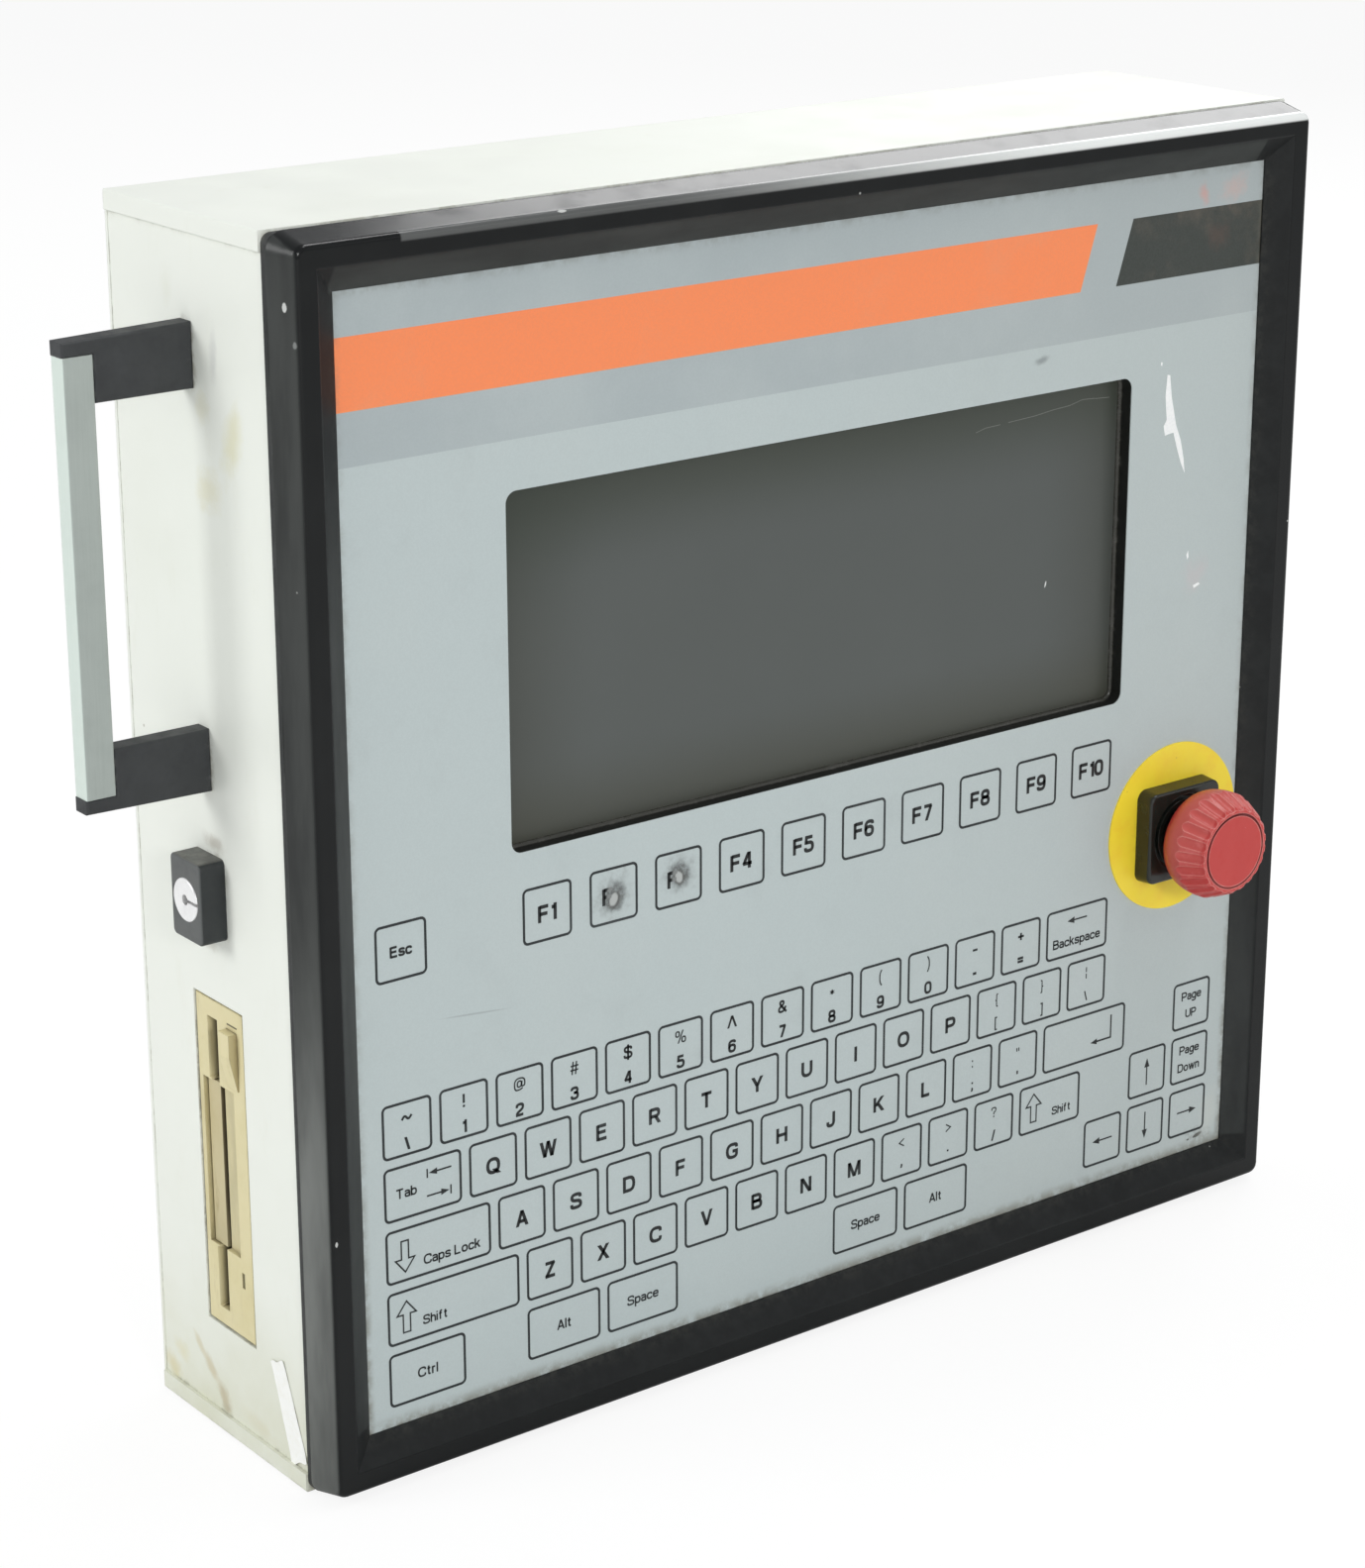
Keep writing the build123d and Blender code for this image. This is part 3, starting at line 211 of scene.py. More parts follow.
    def done(self, soft_edge, *reliefs):
        """The material: edges shaded as if rounded by soft_edge, and reliefs, each a depth and a noise."""
        normal = {}
        if soft_edge:
            normal = {"Normal": self.node("Bevel", {"Radius": soft_edge * MM}, samples=6).outputs[0]}
        for depth, *pattern in reliefs:
            values = {"Strength": 1.0, "Distance": depth * MM, "Height": self.noise(*pattern), **normal}
            normal = {"Normal": self.node("Bump", values).outputs[0]}
        fill(self.tree, self.shader, normal)
        return self.material


def white_paint(name, stained=False):
    """Painted sheet: cloudy, dirtier at the foot, grimy in corners, rubbed at edges."""
    made = Finish(name, (239, 242, 234), 0.46)
    made.tint((233, 236, 226), made.cloud((0.45, 0.75, 0, 0.5), 70, 4, 0.6))
    made.tint((224, 225, 209), made.cloud((0.56, 0.82, 0, 0.28), 11, 5, 0.7, stretch=(1, 1, 4)))
    made.tint((219, 220, 198), made.ramp(made.z, 62, 4), made.cloud((0.25, 0.7, 0.35), 30, 4), 0.8)
    made.tint((150, 146, 124), made.cloud((0.45, 0.65), 6, 5, 0.6), made.corners(3, 0.9, 0.45), 0.55)
    made.tint((186, 186, 172), made.edges(0.4), made.cloud((0.52, 0.64), 6, 5, 0.7, shift=7), 0.5)
    made.tint((160, 156, 136), made.specks(19, 0.035), made.cloud((0.5, 0.56), 60, 2, shift=3), 0.6)
    if stained:
        made.spots(((0, y, z), (ALL,) + size, tilt, 0.55, max(size) * 0.7, 0.85, amount, color)
                   for (y, z), size, tilt, color, amount in STAINS)
    made.roughen(made.cloud((0.4, 0.7), 25, 4, shift=11), 0.6)
    return made.done(0.4, (0.02, 0.9, 2, 0.5), (0.06, 14, 2, 0.4))


# Stains on the left wall: middle (Y, Z), half extents, tilt, colour and strength
STAINS = (
    ((-21, 300), (6, 13), 20, (222, 217, 168), 0.5), ((-6, 307), (5, 6), 10, (222, 217, 176), 0.3),
    ((-8, 285), (8, 9), 60, (222, 216, 174), 0.42), ((10, 337), (4, 8), 5, (218, 220, 200), 0.2),
    ((-13, 321), (2.6, 11), 4, (196, 198, 196), 0.4), ((19.5, 22.6), (2.3, 6.4), -42, (210, 201, 168), 0.6),
    ((13, 17), (3.0, 7.0), -46, (204, 193, 160), 0.7), ((6.6, 10.6), (3.8, 6.6), -36, (190, 178, 146), 0.75),
    ((36, 9), (7, 5), 20, (214, 202, 150), 0.55), ((30, 16), (6, 4), 20, (222, 214, 172), 0.4),
    ((-2, 184), (7, 3.6), 10, (178, 172, 158), 0.6), ((2, 153), (5.5, 2.6), 0, (196, 192, 178), 0.4),
    ((-14, 9), (12, 4), 10, (214, 208, 178), 0.35), ((5.2, 7.4), (4.0, 2.2), 0, (176, 166, 136), 0.5),
)


def foil_print():
    """Printed foil: grey with stripe and dark block, dirty along its rim, worn at two keys."""
    made = Finish("foil_print", (190, 201, 201), 0.42)
    band_z, stripe_low, stripe_high = 296.15, 310.85, 330.55
    stripe_end, block_start, slant = 96.0, 110.5, 0.32
    made.tint((172, 182, 184), made.ramp(made.z, band_z - 0.05, band_z + 0.05))
    made.tint((194, 203, 202), made.cloud((0.42, 0.75, 0, 0.35), 55, 4, 0.6))
    made.tint((176, 180, 176), made.ramp(made.x, -60, 160), 0.22)
    made.tint((170, 179, 179), made.cloud((0.52, 0.78, 0, 0.2), 22, 5, 0.65, shift=5))
    leaning = made.math("MULTIPLY_ADD", made.z, -slant, made.x)
    middle = (stripe_low + stripe_high) / 2 * slant
    rows = made.box((None, None, stripe_low), (None, None, stripe_high))
    made.tint((255, 143, 88), rows, made.ramp(leaning, stripe_end - middle + 0.05, stripe_end - middle - 0.05))
    made.tint((52, 57, 52), rows, made.ramp(leaning, block_start - middle - 0.05, block_start - middle + 0.05))
    made.tint((208, 176, 150), rows, made.cloud((0.48, 0.8), 30, 5, 0.65, shift=9), 0.16)
    made.tint((120, 128, 130), made.cloud((0.35, 0.65), 0.5, 2, 0.5), 0.05)
    # Dirt gathered at the foot, sides and head, against the bumper
    made.tint((108, 102, 84), made.ramp(made.z, 20.5, 15.8), made.cloud((0.3, 0.6), 5, 5, 0.7), 0.7)
    aside = made.math("ABSOLUTE", made.x)
    sides = made.times(made.ramp(aside, 165.2, 168.2), made.cloud((0.35, 0.65), 7, 5, 0.7))
    made.tint((108, 102, 84), sides, made.ramp(made.z, 130, 20), 0.7)
    made.tint((120, 116, 104), sides, 0.35)
    made.tint((120, 118, 112), made.ramp(made.z, 339.5, 343), made.cloud((0.35, 0.65), 6, 5, 0.7, shift=2), 0.45)
    made.tint((104, 100, 90), made.blot((158, 0, 20.5), (8, ALL, 3.6), 15, 0.6, 3, 0.6),
              made.cloud((0.4, 0.6), 1.6, 4, 0.7), 0.35)
    # Dark, rubbed patches on the two worn function keys
    for x, z, size, tilt in ((-81.6, 158.2, 5.6, 20), (-58.4, 159.8, 5.2, -20)):
        halo = made.blot((x + 0.6, 0, z + 0.8), (size * 1.5, ALL, size * 1.6), tilt, 0.7, 3.0, 0.7)
        made.tint((140, 146, 146), halo, made.cloud((0.35, 0.65, 0.3), 2.2, 5, 0.7, shift=x), 0.65)
        ring = made.blot((x + 1.2, 0, z + 0.4), (size * 0.85, ALL, size * 1.0), tilt, 0.3, 2.0, 0.5)
        made.tint((88, 91, 90), ring, made.cloud((0.3, 0.62, 0.35), 1.3, 6, 0.75, 0.6, shift=x), 0.95)
        rim = made.blot((x + 1.0, 0, z - 0.5), (size * 0.42, ALL, size * 0.56), tilt, 0.15, 1.2, 0.3)
        made.tint((84, 84, 80), rim, 0.6)
        middle = made.blot((x + 0.8, 0, z - 0.3), (size * 0.3, ALL, size * 0.44), tilt, 0.15, 1.2, 0.4)
        made.tint((190, 194, 192), middle, 0.85)
    made.spots((
        ((78, 0, 292.2), (4.2, ALL, 1.6), -12, 0.5, 2, 0.8, 0.6, (112, 118, 120)),
        ((143, 0, 335), (2.6, ALL, 5), -20, 0.5, 2.5, 0.9, 0.55, (214, 150, 138)),
        ((156, 0, 335.5), (8, ALL, 5), -30, 0.8, 3, 0.9, 0.4, (212, 170, 160)),
        ((150, 0, 322), (6, ALL, 6), -30, 0.8, 4, 0.9, 0.35, (98, 72, 62)),
        ((146, 0, 215), (7, ALL, 9), 0, 0.8, 5, 0.95, 0.35, (204, 188, 190)),
        ((-128.8, 0, 134.9), (14, ALL, 0.38), 6, 0.2, 3, 0.6, 0.7, (158, 167, 168)),
        ((157.8, 0, 20.3), (2.6, ALL, 0.8), -14, 0.3, 1.2, 0.4, 0.9, (62, 60, 54)),
        ((153.6, 0, 19.7), (0.7, ALL, 0.4), 0, 0.2, 1, 0.4, 0.85, (70, 68, 62)),
        ((163, 0, 27), (6, ALL, 13), 10, 0.5, 5, 0.9, 0.5, (206, 210, 203)),
    ))
    made.tint((216, 222, 222), made.specks(11, 0.035, (1, 1, 9), 4), made.cloud((0.54, 0.6), 30, 2, shift=9),
              0.4)
    made.roughen(made.cloud((0.4, 0.7), 18, 5, 0.6, shift=8), 0.56)
    return made.done(0, (0.012, 0.35, 2, 0.6), (0.05, 26, 2, 0.4))


def bumper_black():
    """Glossy black moulding, duller on its bevels and on the flank by the wall, with dust and painted sheen on
    the bevels, a painted reflection on the flank and a painted highlight along its rounded top edge.
    """
    made = Finish("bumper_black", (9, 12, 13), 0.14, IOR=1.36)
    made.tint((26, 28, 28), made.cloud((0.42, 0.72, 0, 0.4), 28, 5, 0.65))
    # Outer edges of the bevel on all four sides, its front, and the left face of the moulding
    bevel_side, bevel_low, bevel_high, bevel_front, bumper_left = 175.6, 8.7, 350.3, -53.6, -182.0
    bevel = made.box((-bevel_side, bevel_front, bevel_low), (bevel_side, None, bevel_high), 0.4)
    made.tint((34, 37, 37), bevel, made.cloud((0.35, 0.7, 0.2), 7, 5, 0.7), 0.4)
    made.tint((62, 62, 56), bevel, made.ramp(made.y, -51.5, -48.3), made.cloud((0.4, 0.65), 3, 5, 0.7, shift=8),
              0.35)
    # Paler bevels, each side to its own strength and fading along its length: painted sheen
    paler = bevel_front + 0.2
    left_bevel = made.times(made.box((-175.0, paler, 20), (-167, None, 338), 0.5),
                            made.ramp(made.z, 20, 150, 0.5), made.ramp(made.z, 310, 240))
    top_bevel = made.box((-170, paler, 342.6), (164, None, bevel_high), 0.5)
    right_bevel = made.times(made.box((167, paler, 18), (175, None, None), 0.5), made.ramp(made.z, 200, 60))
    for part, stretch, start, amount, color in (
        (left_bevel, (1, 1, 4), 0.6, 0.75, (74, 77, 76)),
        (top_bevel, (4, 1, 1), 0.6, 0.7, (66, 69, 67)),
        (right_bevel, (1, 1, 4), 0.5, 0.65, (60, 63, 62)),
    ):
        made.tint(color, part, made.cloud((0.3, 0.7, start), 9, 4, 0.6, stretch=stretch, shift=7), amount)
    # Painted reflection on the flank by the wall, paler towards the foot
    flank = made.ramp(made.x, bumper_left + 0.8, bumper_left)
    made.tint((74, 77, 75), flank, made.cloud((0.35, 0.7, 0.4), 12, 4, 0.6, stretch=(1, 1, 6), shift=5), 0.6)
    made.tint((122, 125, 122), flank, made.ramp(made.z, 190, 90),
              made.cloud((0.3, 0.7, 0.4), 16, 4, 0.6, stretch=(1, 1, 5), shift=2), 0.85)
    # Painted highlight where light is caught by the rounded top edge
    fillet_highlight = made.box((-150, None, 354.4), (None, -51.9, None), 0.4)
    made.tint((240, 243, 241), fillet_highlight, made.ramp(made.x, -80, 110, 0.12), 0.95)
    made.tint((112, 114, 112), made.edges(0.6), made.cloud((0.56, 0.68), 7, 6, 0.75, shift=3), 0.4)
    made.tint((176, 178, 174), made.specks(21, 0.022), 0.75)
    # Bare nicks: middle and half extents
    made.spots((*nick, 0, 0.3, 0.8, 0.3, 0.9, (206, 208, 205)) for nick in (
        ((-183.0, -49.3, 340.5), (2, 0.9, 1.5)), ((-99, -53.2, 356.6), (1.7, 1, 0.5)),
        ((-133, -53.7, 14.2), (1.0, 1, 0.7)), ((-152.1, -53.7, 167), (0.4, 1, 0.5)),
        ((96, -53.2, 357), (2.2, 1, 0.4)), ((-179.8, -53.7, 81), (0.5, 1.0, 0.9))))
    made.spots([((-182.0, -52.4, 331.2), (1.5, 0.8, 1.1), 0, 0.3, 0.8, 0.4, 0.7, (142, 145, 143))])
    made.tint((84, 86, 84), made.specks(6, 0.04, (12, 1, 1), 2), made.cloud((0.52, 0.62), 30, 3, shift=6), 0.3)
    made.roughen(made.cloud((0.45, 0.75), 14, 4, 0.6, shift=4), 0.24)
    made.roughen(made.times(bevel, 0.9), 0.6)
    made.roughen(made.times(flank, 0.8), 0.36)
    return made.done(0.6, (0.06, 40, 2, 0.4))


def plain_plastic(name, color, roughness, dust=(150, 150, 144), amount=0.25, edge=0.35, grain=0.5, **values):
    """Moulded plastic with a fine grain, dusty corners and rubbed edges."""
    made = Finish(name, color, roughness, **values)
    made.tint(scaled(color, 1.12, 5), made.cloud((0.4, 0.72, 0, 0.6), 12, 5, 0.65))
    made.tint(dust, made.cloud((0.5, 0.7), 3.5, 5, 0.65, shift=4), made.corners(3, 0.95, 0.5), amount)
    made.tint(scaled(color, 1.3, 40), made.edges(0.35), made.cloud((0.45, 0.62), 3, 5, 0.7, shift=9), edge)
    made.roughen(made.cloud((0.4, 0.7), 5, 4, 0.6, shift=2), min(0.9, roughness + 0.16))
    return made.done(0.3, (0.012, grain, 2, 0.55))


def plain_metal(name, color, roughness, brushed=(1, 1, 1), dirt=0.3, metallic=0.9):
    """Plated, cast or brushed metal with faint streaks and stains."""
    made = Finish(name, color, roughness, Metallic=metallic)
    made.tint(scaled(color, 0.85), made.cloud((0.42, 0.72, 0, 0.4), 14, 5, 0.65))
    made.tint(scaled(color, 1.06), made.cloud((0.35, 0.7, 0, 0.3), 0.35, 3, 0.6, stretch=brushed))
    made.tint((96, 90, 78), made.cloud((0.5, 0.66), 3, 5, 0.7, shift=5), made.corners(4, 0.95, 0.4), dirt)
    if name == "anodised_bar":
        # Painted shade on the front face of the handle bar and painted light on its outer face
        made.tint((158, 165, 161), made.ramp(made.y, -2.35, -2.5), 0.6)
        made.tint((228, 240, 232), made.ramp(made.x, -221.2, -221.4), 0.7)
    made.roughen(made.cloud((0.35, 0.7), 0.5, 3, 0.6, stretch=brushed, shift=3), min(0.9, roughness + 0.18))
    return made.done(0.25, (0.004, 0.3, 2, 0.5, 0, brushed))


# Axis of the stop button in X and Z, and the edges of the groove round the insert of its head
STOP_X, STOP_Z = 139.5, 132.4
GROOVE_INNER, GROOVE_OUTER = 11.55, 12.45


def red_head():
    """Red plastic with worn edges, painted highlights on the ridges at the upper left, and painted shade in its
    corners and in the groove round the insert.
    """
    made = Finish("red_mushroom", (194, 60, 57), 0.3)
    made.tint((200, 66, 62), made.cloud((0.4, 0.72, 0, 0.5), 9, 5, 0.65))
    # Paler worn edges, also a painted highlight on the edges of the flutes
    made.tint((248, 172, 164), made.edges(1), made.cloud((0.3, 0.6, 0.5), 2.4, 5, 0.7, shift=6), 0.95)
    # Painted highlight on the ridges of the flutes at the upper left
    ridges = made.times(made.ramp(made.math("MULTIPLY_ADD", made.x, -0.6, made.z), 46.2, 62.2),
                        made.ramp(made.y, -76.4, -75.6), made.ramp(made.y, -62, -66))
    made.tint((236, 132, 124), ridges, 0.3)
    made.tint((255, 196, 188), ridges, made.edges(1), 0.8)
    made.tint((230, 128, 126), made.cloud((0.5, 0.7), 2.6, 5, 0.7), made.ramp(made.y, -66, -71),
              made.ramp(made.y, -77.15, -76.6), 0.35)
    # Painted shade in the corners of the head, weaker on its face
    made.tint((132, 34, 34), made.corners(2, 0.85, 0.4), made.ramp(made.y, -76.6, -75, 0.6), 0.7)
    made.tint((236, 186, 182), made.specks(3.4, 0.05), made.cloud((0.5, 0.6), 9, 2, shift=5), 0.5)
    # Painted shade in the groove round the insert, darkest at the upper left
    right, up = made.math("SUBTRACT", made.x, STOP_X), made.math("SUBTRACT", made.z, STOP_Z)
    radius = made.math("SQRT", made.math("ADD", made.times(right, right), made.times(up, up)))
    groove = made.times(made.ramp(radius, GROOVE_INNER - 0.1, GROOVE_INNER + 0.1),
                        made.ramp(radius, GROOVE_OUTER + 0.1, GROOVE_OUTER - 0.1),
                        made.ramp(made.y, -76.4, -76.55))
    lean = made.math("MULTIPLY_ADD", right, -0.6, up)
    made.tint((124, 26, 28), groove, made.ramp(lean, -9, 8, 0.35, 0.95))
    made.roughen(made.cloud((0.4, 0.7), 3, 5, 0.65, shift=2), 0.5)
    return made.done(0.4, (0.01, 0.8, 2, 0.5))


def yellow_disc():
    """Yellow plastic, cloudy, with a little dirt round the collar."""
    made = Finish("yellow_disc", (255, 228, 58), 0.4)
    made.tint((250, 208, 54), made.cloud((0.42, 0.72, 0, 0.5), 10, 5, 0.65))
    made.tint((178, 152, 54), made.cloud((0.5, 0.7), 3.4, 5, 0.65), made.corners(3, 0.9, 0.5), 0.2)
    made.tint((178, 150, 60), made.specks(9, 0.04), 0.4)
    made.roughen(made.cloud((0.4, 0.7), 4, 5, 0.6, shift=2), 0.55)
    return made.done(0, (0.01, 0.4, 2, 0.5))


def smoked_screen():
    """Dark screen with painted shade towards its edges, finely woven, rubbed in patches."""
    made = Finish("smoked_screen", (88, 92, 90), 0.34, IOR=1.36)
    made.tint((92, 96, 94), made.cloud((0.4, 0.7, 0, 0.4), 60, 3, 0.5))
    # Painted shade of the walls of its recess: darker towards its edges, most at the upper left
    aside = made.math("ABSOLUTE", made.x)
    made.tint((72, 74, 68), made.ramp(aside, 80, 118), 0.6)
    made.tint((66, 71, 62), made.ramp(made.z, 252, 284), 0.8)
    made.tint((70, 70, 58), made.ramp(made.z, 205, 178), 0.6)
    made.tint((56, 64, 56), made.ramp(made.x, -60, -118), made.ramp(made.z, 230, 284), 0.5)
    weave = made.node("TexWave", {"Vector": made.place, "Scale": 0.55}, wave_type="BANDS", bands_direction="X")
    made.tint((40, 42, 40), weave.outputs[1], 0.05)
    made.tint((156, 158, 152), made.specks(24, 0.018), 0.7)
    made.tint((226, 228, 226), made.blot((87, 0, 220.7), (0.3, ALL, 1.2), 15, 0.2, 1, 0.3), 0.95)
    made.roughen(made.cloud((0.5, 0.75), 34, 5, 0.7, 0.4, shift=3), 0.44)
    return made.done(0, (0.004, 0.25, 2, 0.5))


def block_grey():
    """Dark plastic with a painted highlight on its outer face and a paler, cloudy upper face."""
    made = Finish("block_grey", (34, 38, 40), 0.4)
    made.tint((44, 48, 50), made.cloud((0.4, 0.72, 0, 0.5), 9, 5, 0.65))
    # Painted highlight on the outer face
    made.tint((98, 101, 100), made.ramp(made.x, -190.5, -191), 0.7)
    made.tint((122, 122, 114), made.ramp(made.z, 180.1, 180.4), made.cloud((0.3, 0.7, 0.4), 4, 4, 0.6), 0.7)
    made.tint((150, 152, 148), made.edges(0.4), made.cloud((0.4, 0.62), 3, 5, 0.7, shift=9), 0.5)
    made.roughen(made.cloud((0.4, 0.7), 5, 4, 0.6, shift=2), 0.55)
    return made.done(0.3, (0.012, 0.5, 2, 0.55))


# Middles of the finger wells of the drive's faceplate, in Z, and half their height
WELLS, WELL_REACH = (49.3, 120.9), 9.6


def aged_beige(name, color, depth):
    """Plastic gone yellow, with painted shade in its corners and hollows. Depth is how strongly its brown
    streaks show.
    """
    made = Finish(name, color, 0.48)
    yellowed = tuple(c * share for c, share in zip(color, (0.95, 0.94, 0.88)))
    made.tint(yellowed, made.cloud((0.4, 0.7, 0, 0.5), 16, 4, 0.6))
    # Painted shade in corners
    made.tint((126, 112, 76), made.corners(3, 0.85, 0.35), 0.6)
    made.tint((92, 80, 52), made.cloud((0.45, 0.65), 5, 5, 0.6, stretch=(1, 1, 3)), made.corners(2, 0.95, 0.5),
              0.6)
    made.tint((164, 148, 104), made.cloud((0.54, 0.76), 4, 5, 0.7, stretch=(1, 1, 4), shift=5), depth)
    made.tint((240, 232, 200), made.edges(0.3), made.cloud((0.42, 0.62), 3, 5, 0.7, shift=8), 0.5)
    if name == "button_beige":
        # Dirt and painted shade on the side of the button that looks to the front
        made.tint((164, 148, 104), made.ramp(made.y, -9, -9.25), 0.6)
    if name == "flap_beige":
        # Painted shade deep in the slot beside the flap
        made.tint((62, 52, 36), made.ramp(made.y, 2.62, 2.45), made.ramp(made.x, -183.2, -181.2), 0.9)
        made.tint((176, 168, 132), made.ramp(made.z, 75, 60), 0.4)
    if name == "faceplate_beige":
        # Painted shade on the recessed ledge under the button
        deep = made.ramp(made.x, -182.6, -182.3)
        made.tint((186, 177, 140), deep, made.box((None, -6.4, 59), (None, 1.2, 111)),
                  made.cloud((0.3, 0.7, 0.4), 3, 5, 0.6, stretch=(1, 1, 5), shift=4), 0.6)
        # Painted shade in the finger wells, darker the deeper they go
        for middle in WELLS:
            well = made.box((None, 1.0, middle - WELL_REACH), (None, 6.9, middle + WELL_REACH))
            made.tint((176, 160, 112), well, made.ramp(made.x, -182.8, -181.9), 0.5)
            made.tint((62, 52, 34), well, made.ramp(made.x, -181.9, -179.9), 0.95)
        # Painted shadow in the gap above the button
        made.tint((58, 50, 34), made.box((None, -9.6, 130.9), (None, -4.2, 131.4)), 0.9)
        left = made.box((None, 9.8, 59), (None, 12.4, 111), 0.5)
        made.tint((182, 170, 128), left, made.cloud((0.3, 0.7, 0.3), 4, 5, 0.6, stretch=(1, 1, 3), shift=4), 0.3)
    made.roughen(made.cloud((0.4, 0.7), 4, 4, shift=6), 0.62)
    return made.done(0.3, (0.012, 0.45, 2, 0.55))


def printed_ink(name, color):
    """Screen print that thins where fingers rub it."""
    made = Finish(name, color, 0.5)
    made.tint((88, 94, 96), made.cloud((0.55, 0.8, 0, 0.25), 1.1, 5, 0.7))
    for x, z in ((-80.0, 159), (-56.8, 159.4)):
        rubbed = made.blot((x, 0, z), (3.6, ALL, 5.6), 0, 0.15, 2, 0.2)
        made.tint((132, 135, 134), rubbed, 0.96)
    made.tint((96, 104, 106), made.cloud((0.52, 0.7), 40, 3, shift=4), 0.2)
    return made.done(0, (0.004, 0.3, 2, 0.5))


def paper_tape():
    """Matt paper with grey edges."""
    made = Finish("paper_tape", (253, 254, 251), 0.7)
    made.tint((244, 244, 236), made.cloud((0.42, 0.7, 0, 0.5), 3, 5, 0.65))
    made.tint((196, 192, 176), made.edges(0.3), 0.3)
    return made.done(0, (0.03, 0.6, 4, 0.6, 0, (1, 4, 1)))


def scuff_white():
    """Bare, rough patches of the foil."""
    made = Finish("scuff_white", (250, 251, 250), 0.6)
    made.tint((232, 235, 236), made.cloud((0.4, 0.7, 0, 0.5), 0.8, 5, 0.7))
    return made.done(0, (0.03, 0.4, 4, 0.6))


# Materials on the frame's own nodes
finishes = {
    "left_wall": white_paint("paint_left", stained=True),
    "front_overlay": foil_print(),
    "bumper_frame": bumper_black(),
    "front_flange": plain_plastic("flange_dark", (40, 42, 42), 0.5, (130, 128, 116), 0.4, 0.4),
    "window_trim": plain_plastic("trim_black", (26, 27, 25), 0.4, IOR=1.4),
    "display_glass": smoked_screen(),
    "display_gasket": plain_plastic("gasket_black", (34, 34, 33), 0.85, grain=0.8),
    "display_module": plain_plastic("module_dark", (58, 60, 58), 0.4),
    "stop_disc": yellow_disc(),
    "stop_collar": plain_plastic("collar_black", (33, 35, 31), 0.12, (54, 54, 50), 0.2, 0.5, IOR=1.5),
    "stop_plunger": plain_plastic("plunger_black", (18, 18, 18), 0.3, IOR=1.4),
    "stop_ring": plain_plastic("ring_black", (34, 34, 34), 0.5),
    "stop_head": red_head(),
    "handle_bar": plain_metal("anodised_bar", (196, 205, 200), 0.5, (1, 1, 40), 0.2, 0.25),
    "key_block": block_grey(),
    "key_rotor": plain_metal("rotor_chrome", (252, 252, 252), 0.3, metallic=0.55),
    "drive_faceplate": aged_beige("faceplate_beige", (224, 214, 170), 0.3),
    "drive_flap": aged_beige("flap_beige", (202, 190, 150), 0.6),
    "drive_button": aged_beige("button_beige", (226, 216, 172), 0.3),
    "drive_lamp": plain_plastic("lamp_olive", (112, 106, 74), 0.3),
    "drive_body": plain_metal("drive_steel", (186, 188, 188), 0.42, (6, 1, 1)),
    "power_supply": plain_metal("supply_sheet", (190, 192, 193), 0.45, (8, 1, 1)),
    "cable_grommet": plain_plastic("grommet_rubber", (30, 30, 30), 0.75, grain=0.9),
    "board_chips": plain_plastic("chip_black", (32, 32, 34), 0.5),
    "board_plugs": plain_plastic("plug_black", (44, 44, 46), 0.45),
    "key_circuit": plain_plastic("circuit_foil", (176, 152, 104), 0.35),
    "key_spacer": plain_plastic("spacer_foil", (222, 224, 220), 0.4),
    "front_plate": plain_metal("plate_mill", (204, 206, 208), 0.4, (12, 1, 1)),
    "arm_plate": plain_metal("plate_zinc", (164, 166, 168), 0.45),
}
shared = {
    white_paint("paint_white"): ("right_wall", "top_tray", "bottom_tray", "rear_cover"),
    plain_plastic("bracket_grey", (48, 50, 52), 0.52, (140, 140, 136), 0.3, 0.3):
        ("handle_lower_bracket", "handle_upper_bracket"),
    plain_plastic("contact_grey", (52, 52, 54), 0.5): ("stop_contacts", "key_contacts"),
    plain_plastic("ribbon_grey", (170, 172, 174), 0.5): ("drive_ribbon", "display_ribbon"),
    plain_plastic("board_green", (30, 92, 54), 0.35): ("controller_board",),
    plain_metal("zinc_sheet", (178, 180, 182), 0.4, (10, 1, 1)):
        ("display_carrier", "drive_bracket", "key_domes"),
    plain_metal("brass", (206, 178, 112), 0.35):
        ("display_standoffs", "board_standoffs", "earth_stud", "earth_nut"),
    plain_metal("screw_zinc", (196, 198, 200), 0.32): (
        "rear_cover_screws", "flange_screws", "carrier_screws", "board_screws", "drive_screws",
        "handle_screws", "supply_nuts", "supply_studs", "key_nut"),
}
for material, names in shared.items():
    for name in names:
        finishes[name] = material
for name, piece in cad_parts.items():
    for slot in piece.material_slots:
        slot.material = finishes[name]


def new_piece(name, points, faces, material):
    """Mesh that rides on the housing."""
    mesh = bpy.data.meshes.new(name)
    mesh.from_pydata(points, [], faces)
    mesh.materials.append(material)
    piece = bpy.data.objects.new(name, mesh)
    scene.collection.objects.link(piece)
    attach(piece, "housing")
    return piece


def rounded(left, low, right, high, radius, shrink=0.0, steps=6):
    """Points x, z round a rectangle with rounded corners, taken in by shrink, each with the angle it faces."""
    points = []
    for cx, cz, turn in ((right - radius, high - radius, 0), (left + radius, high - radius, 90),
                         (left + radius, low + radius, 180), (right - radius, low + radius, 270)):
        for n in range(steps + 1):
            angle = radians(turn + 90 * n / steps)
            points.append((cx + (radius - shrink) * cos(angle), cz + (radius - shrink) * sin(angle), angle))
    return points


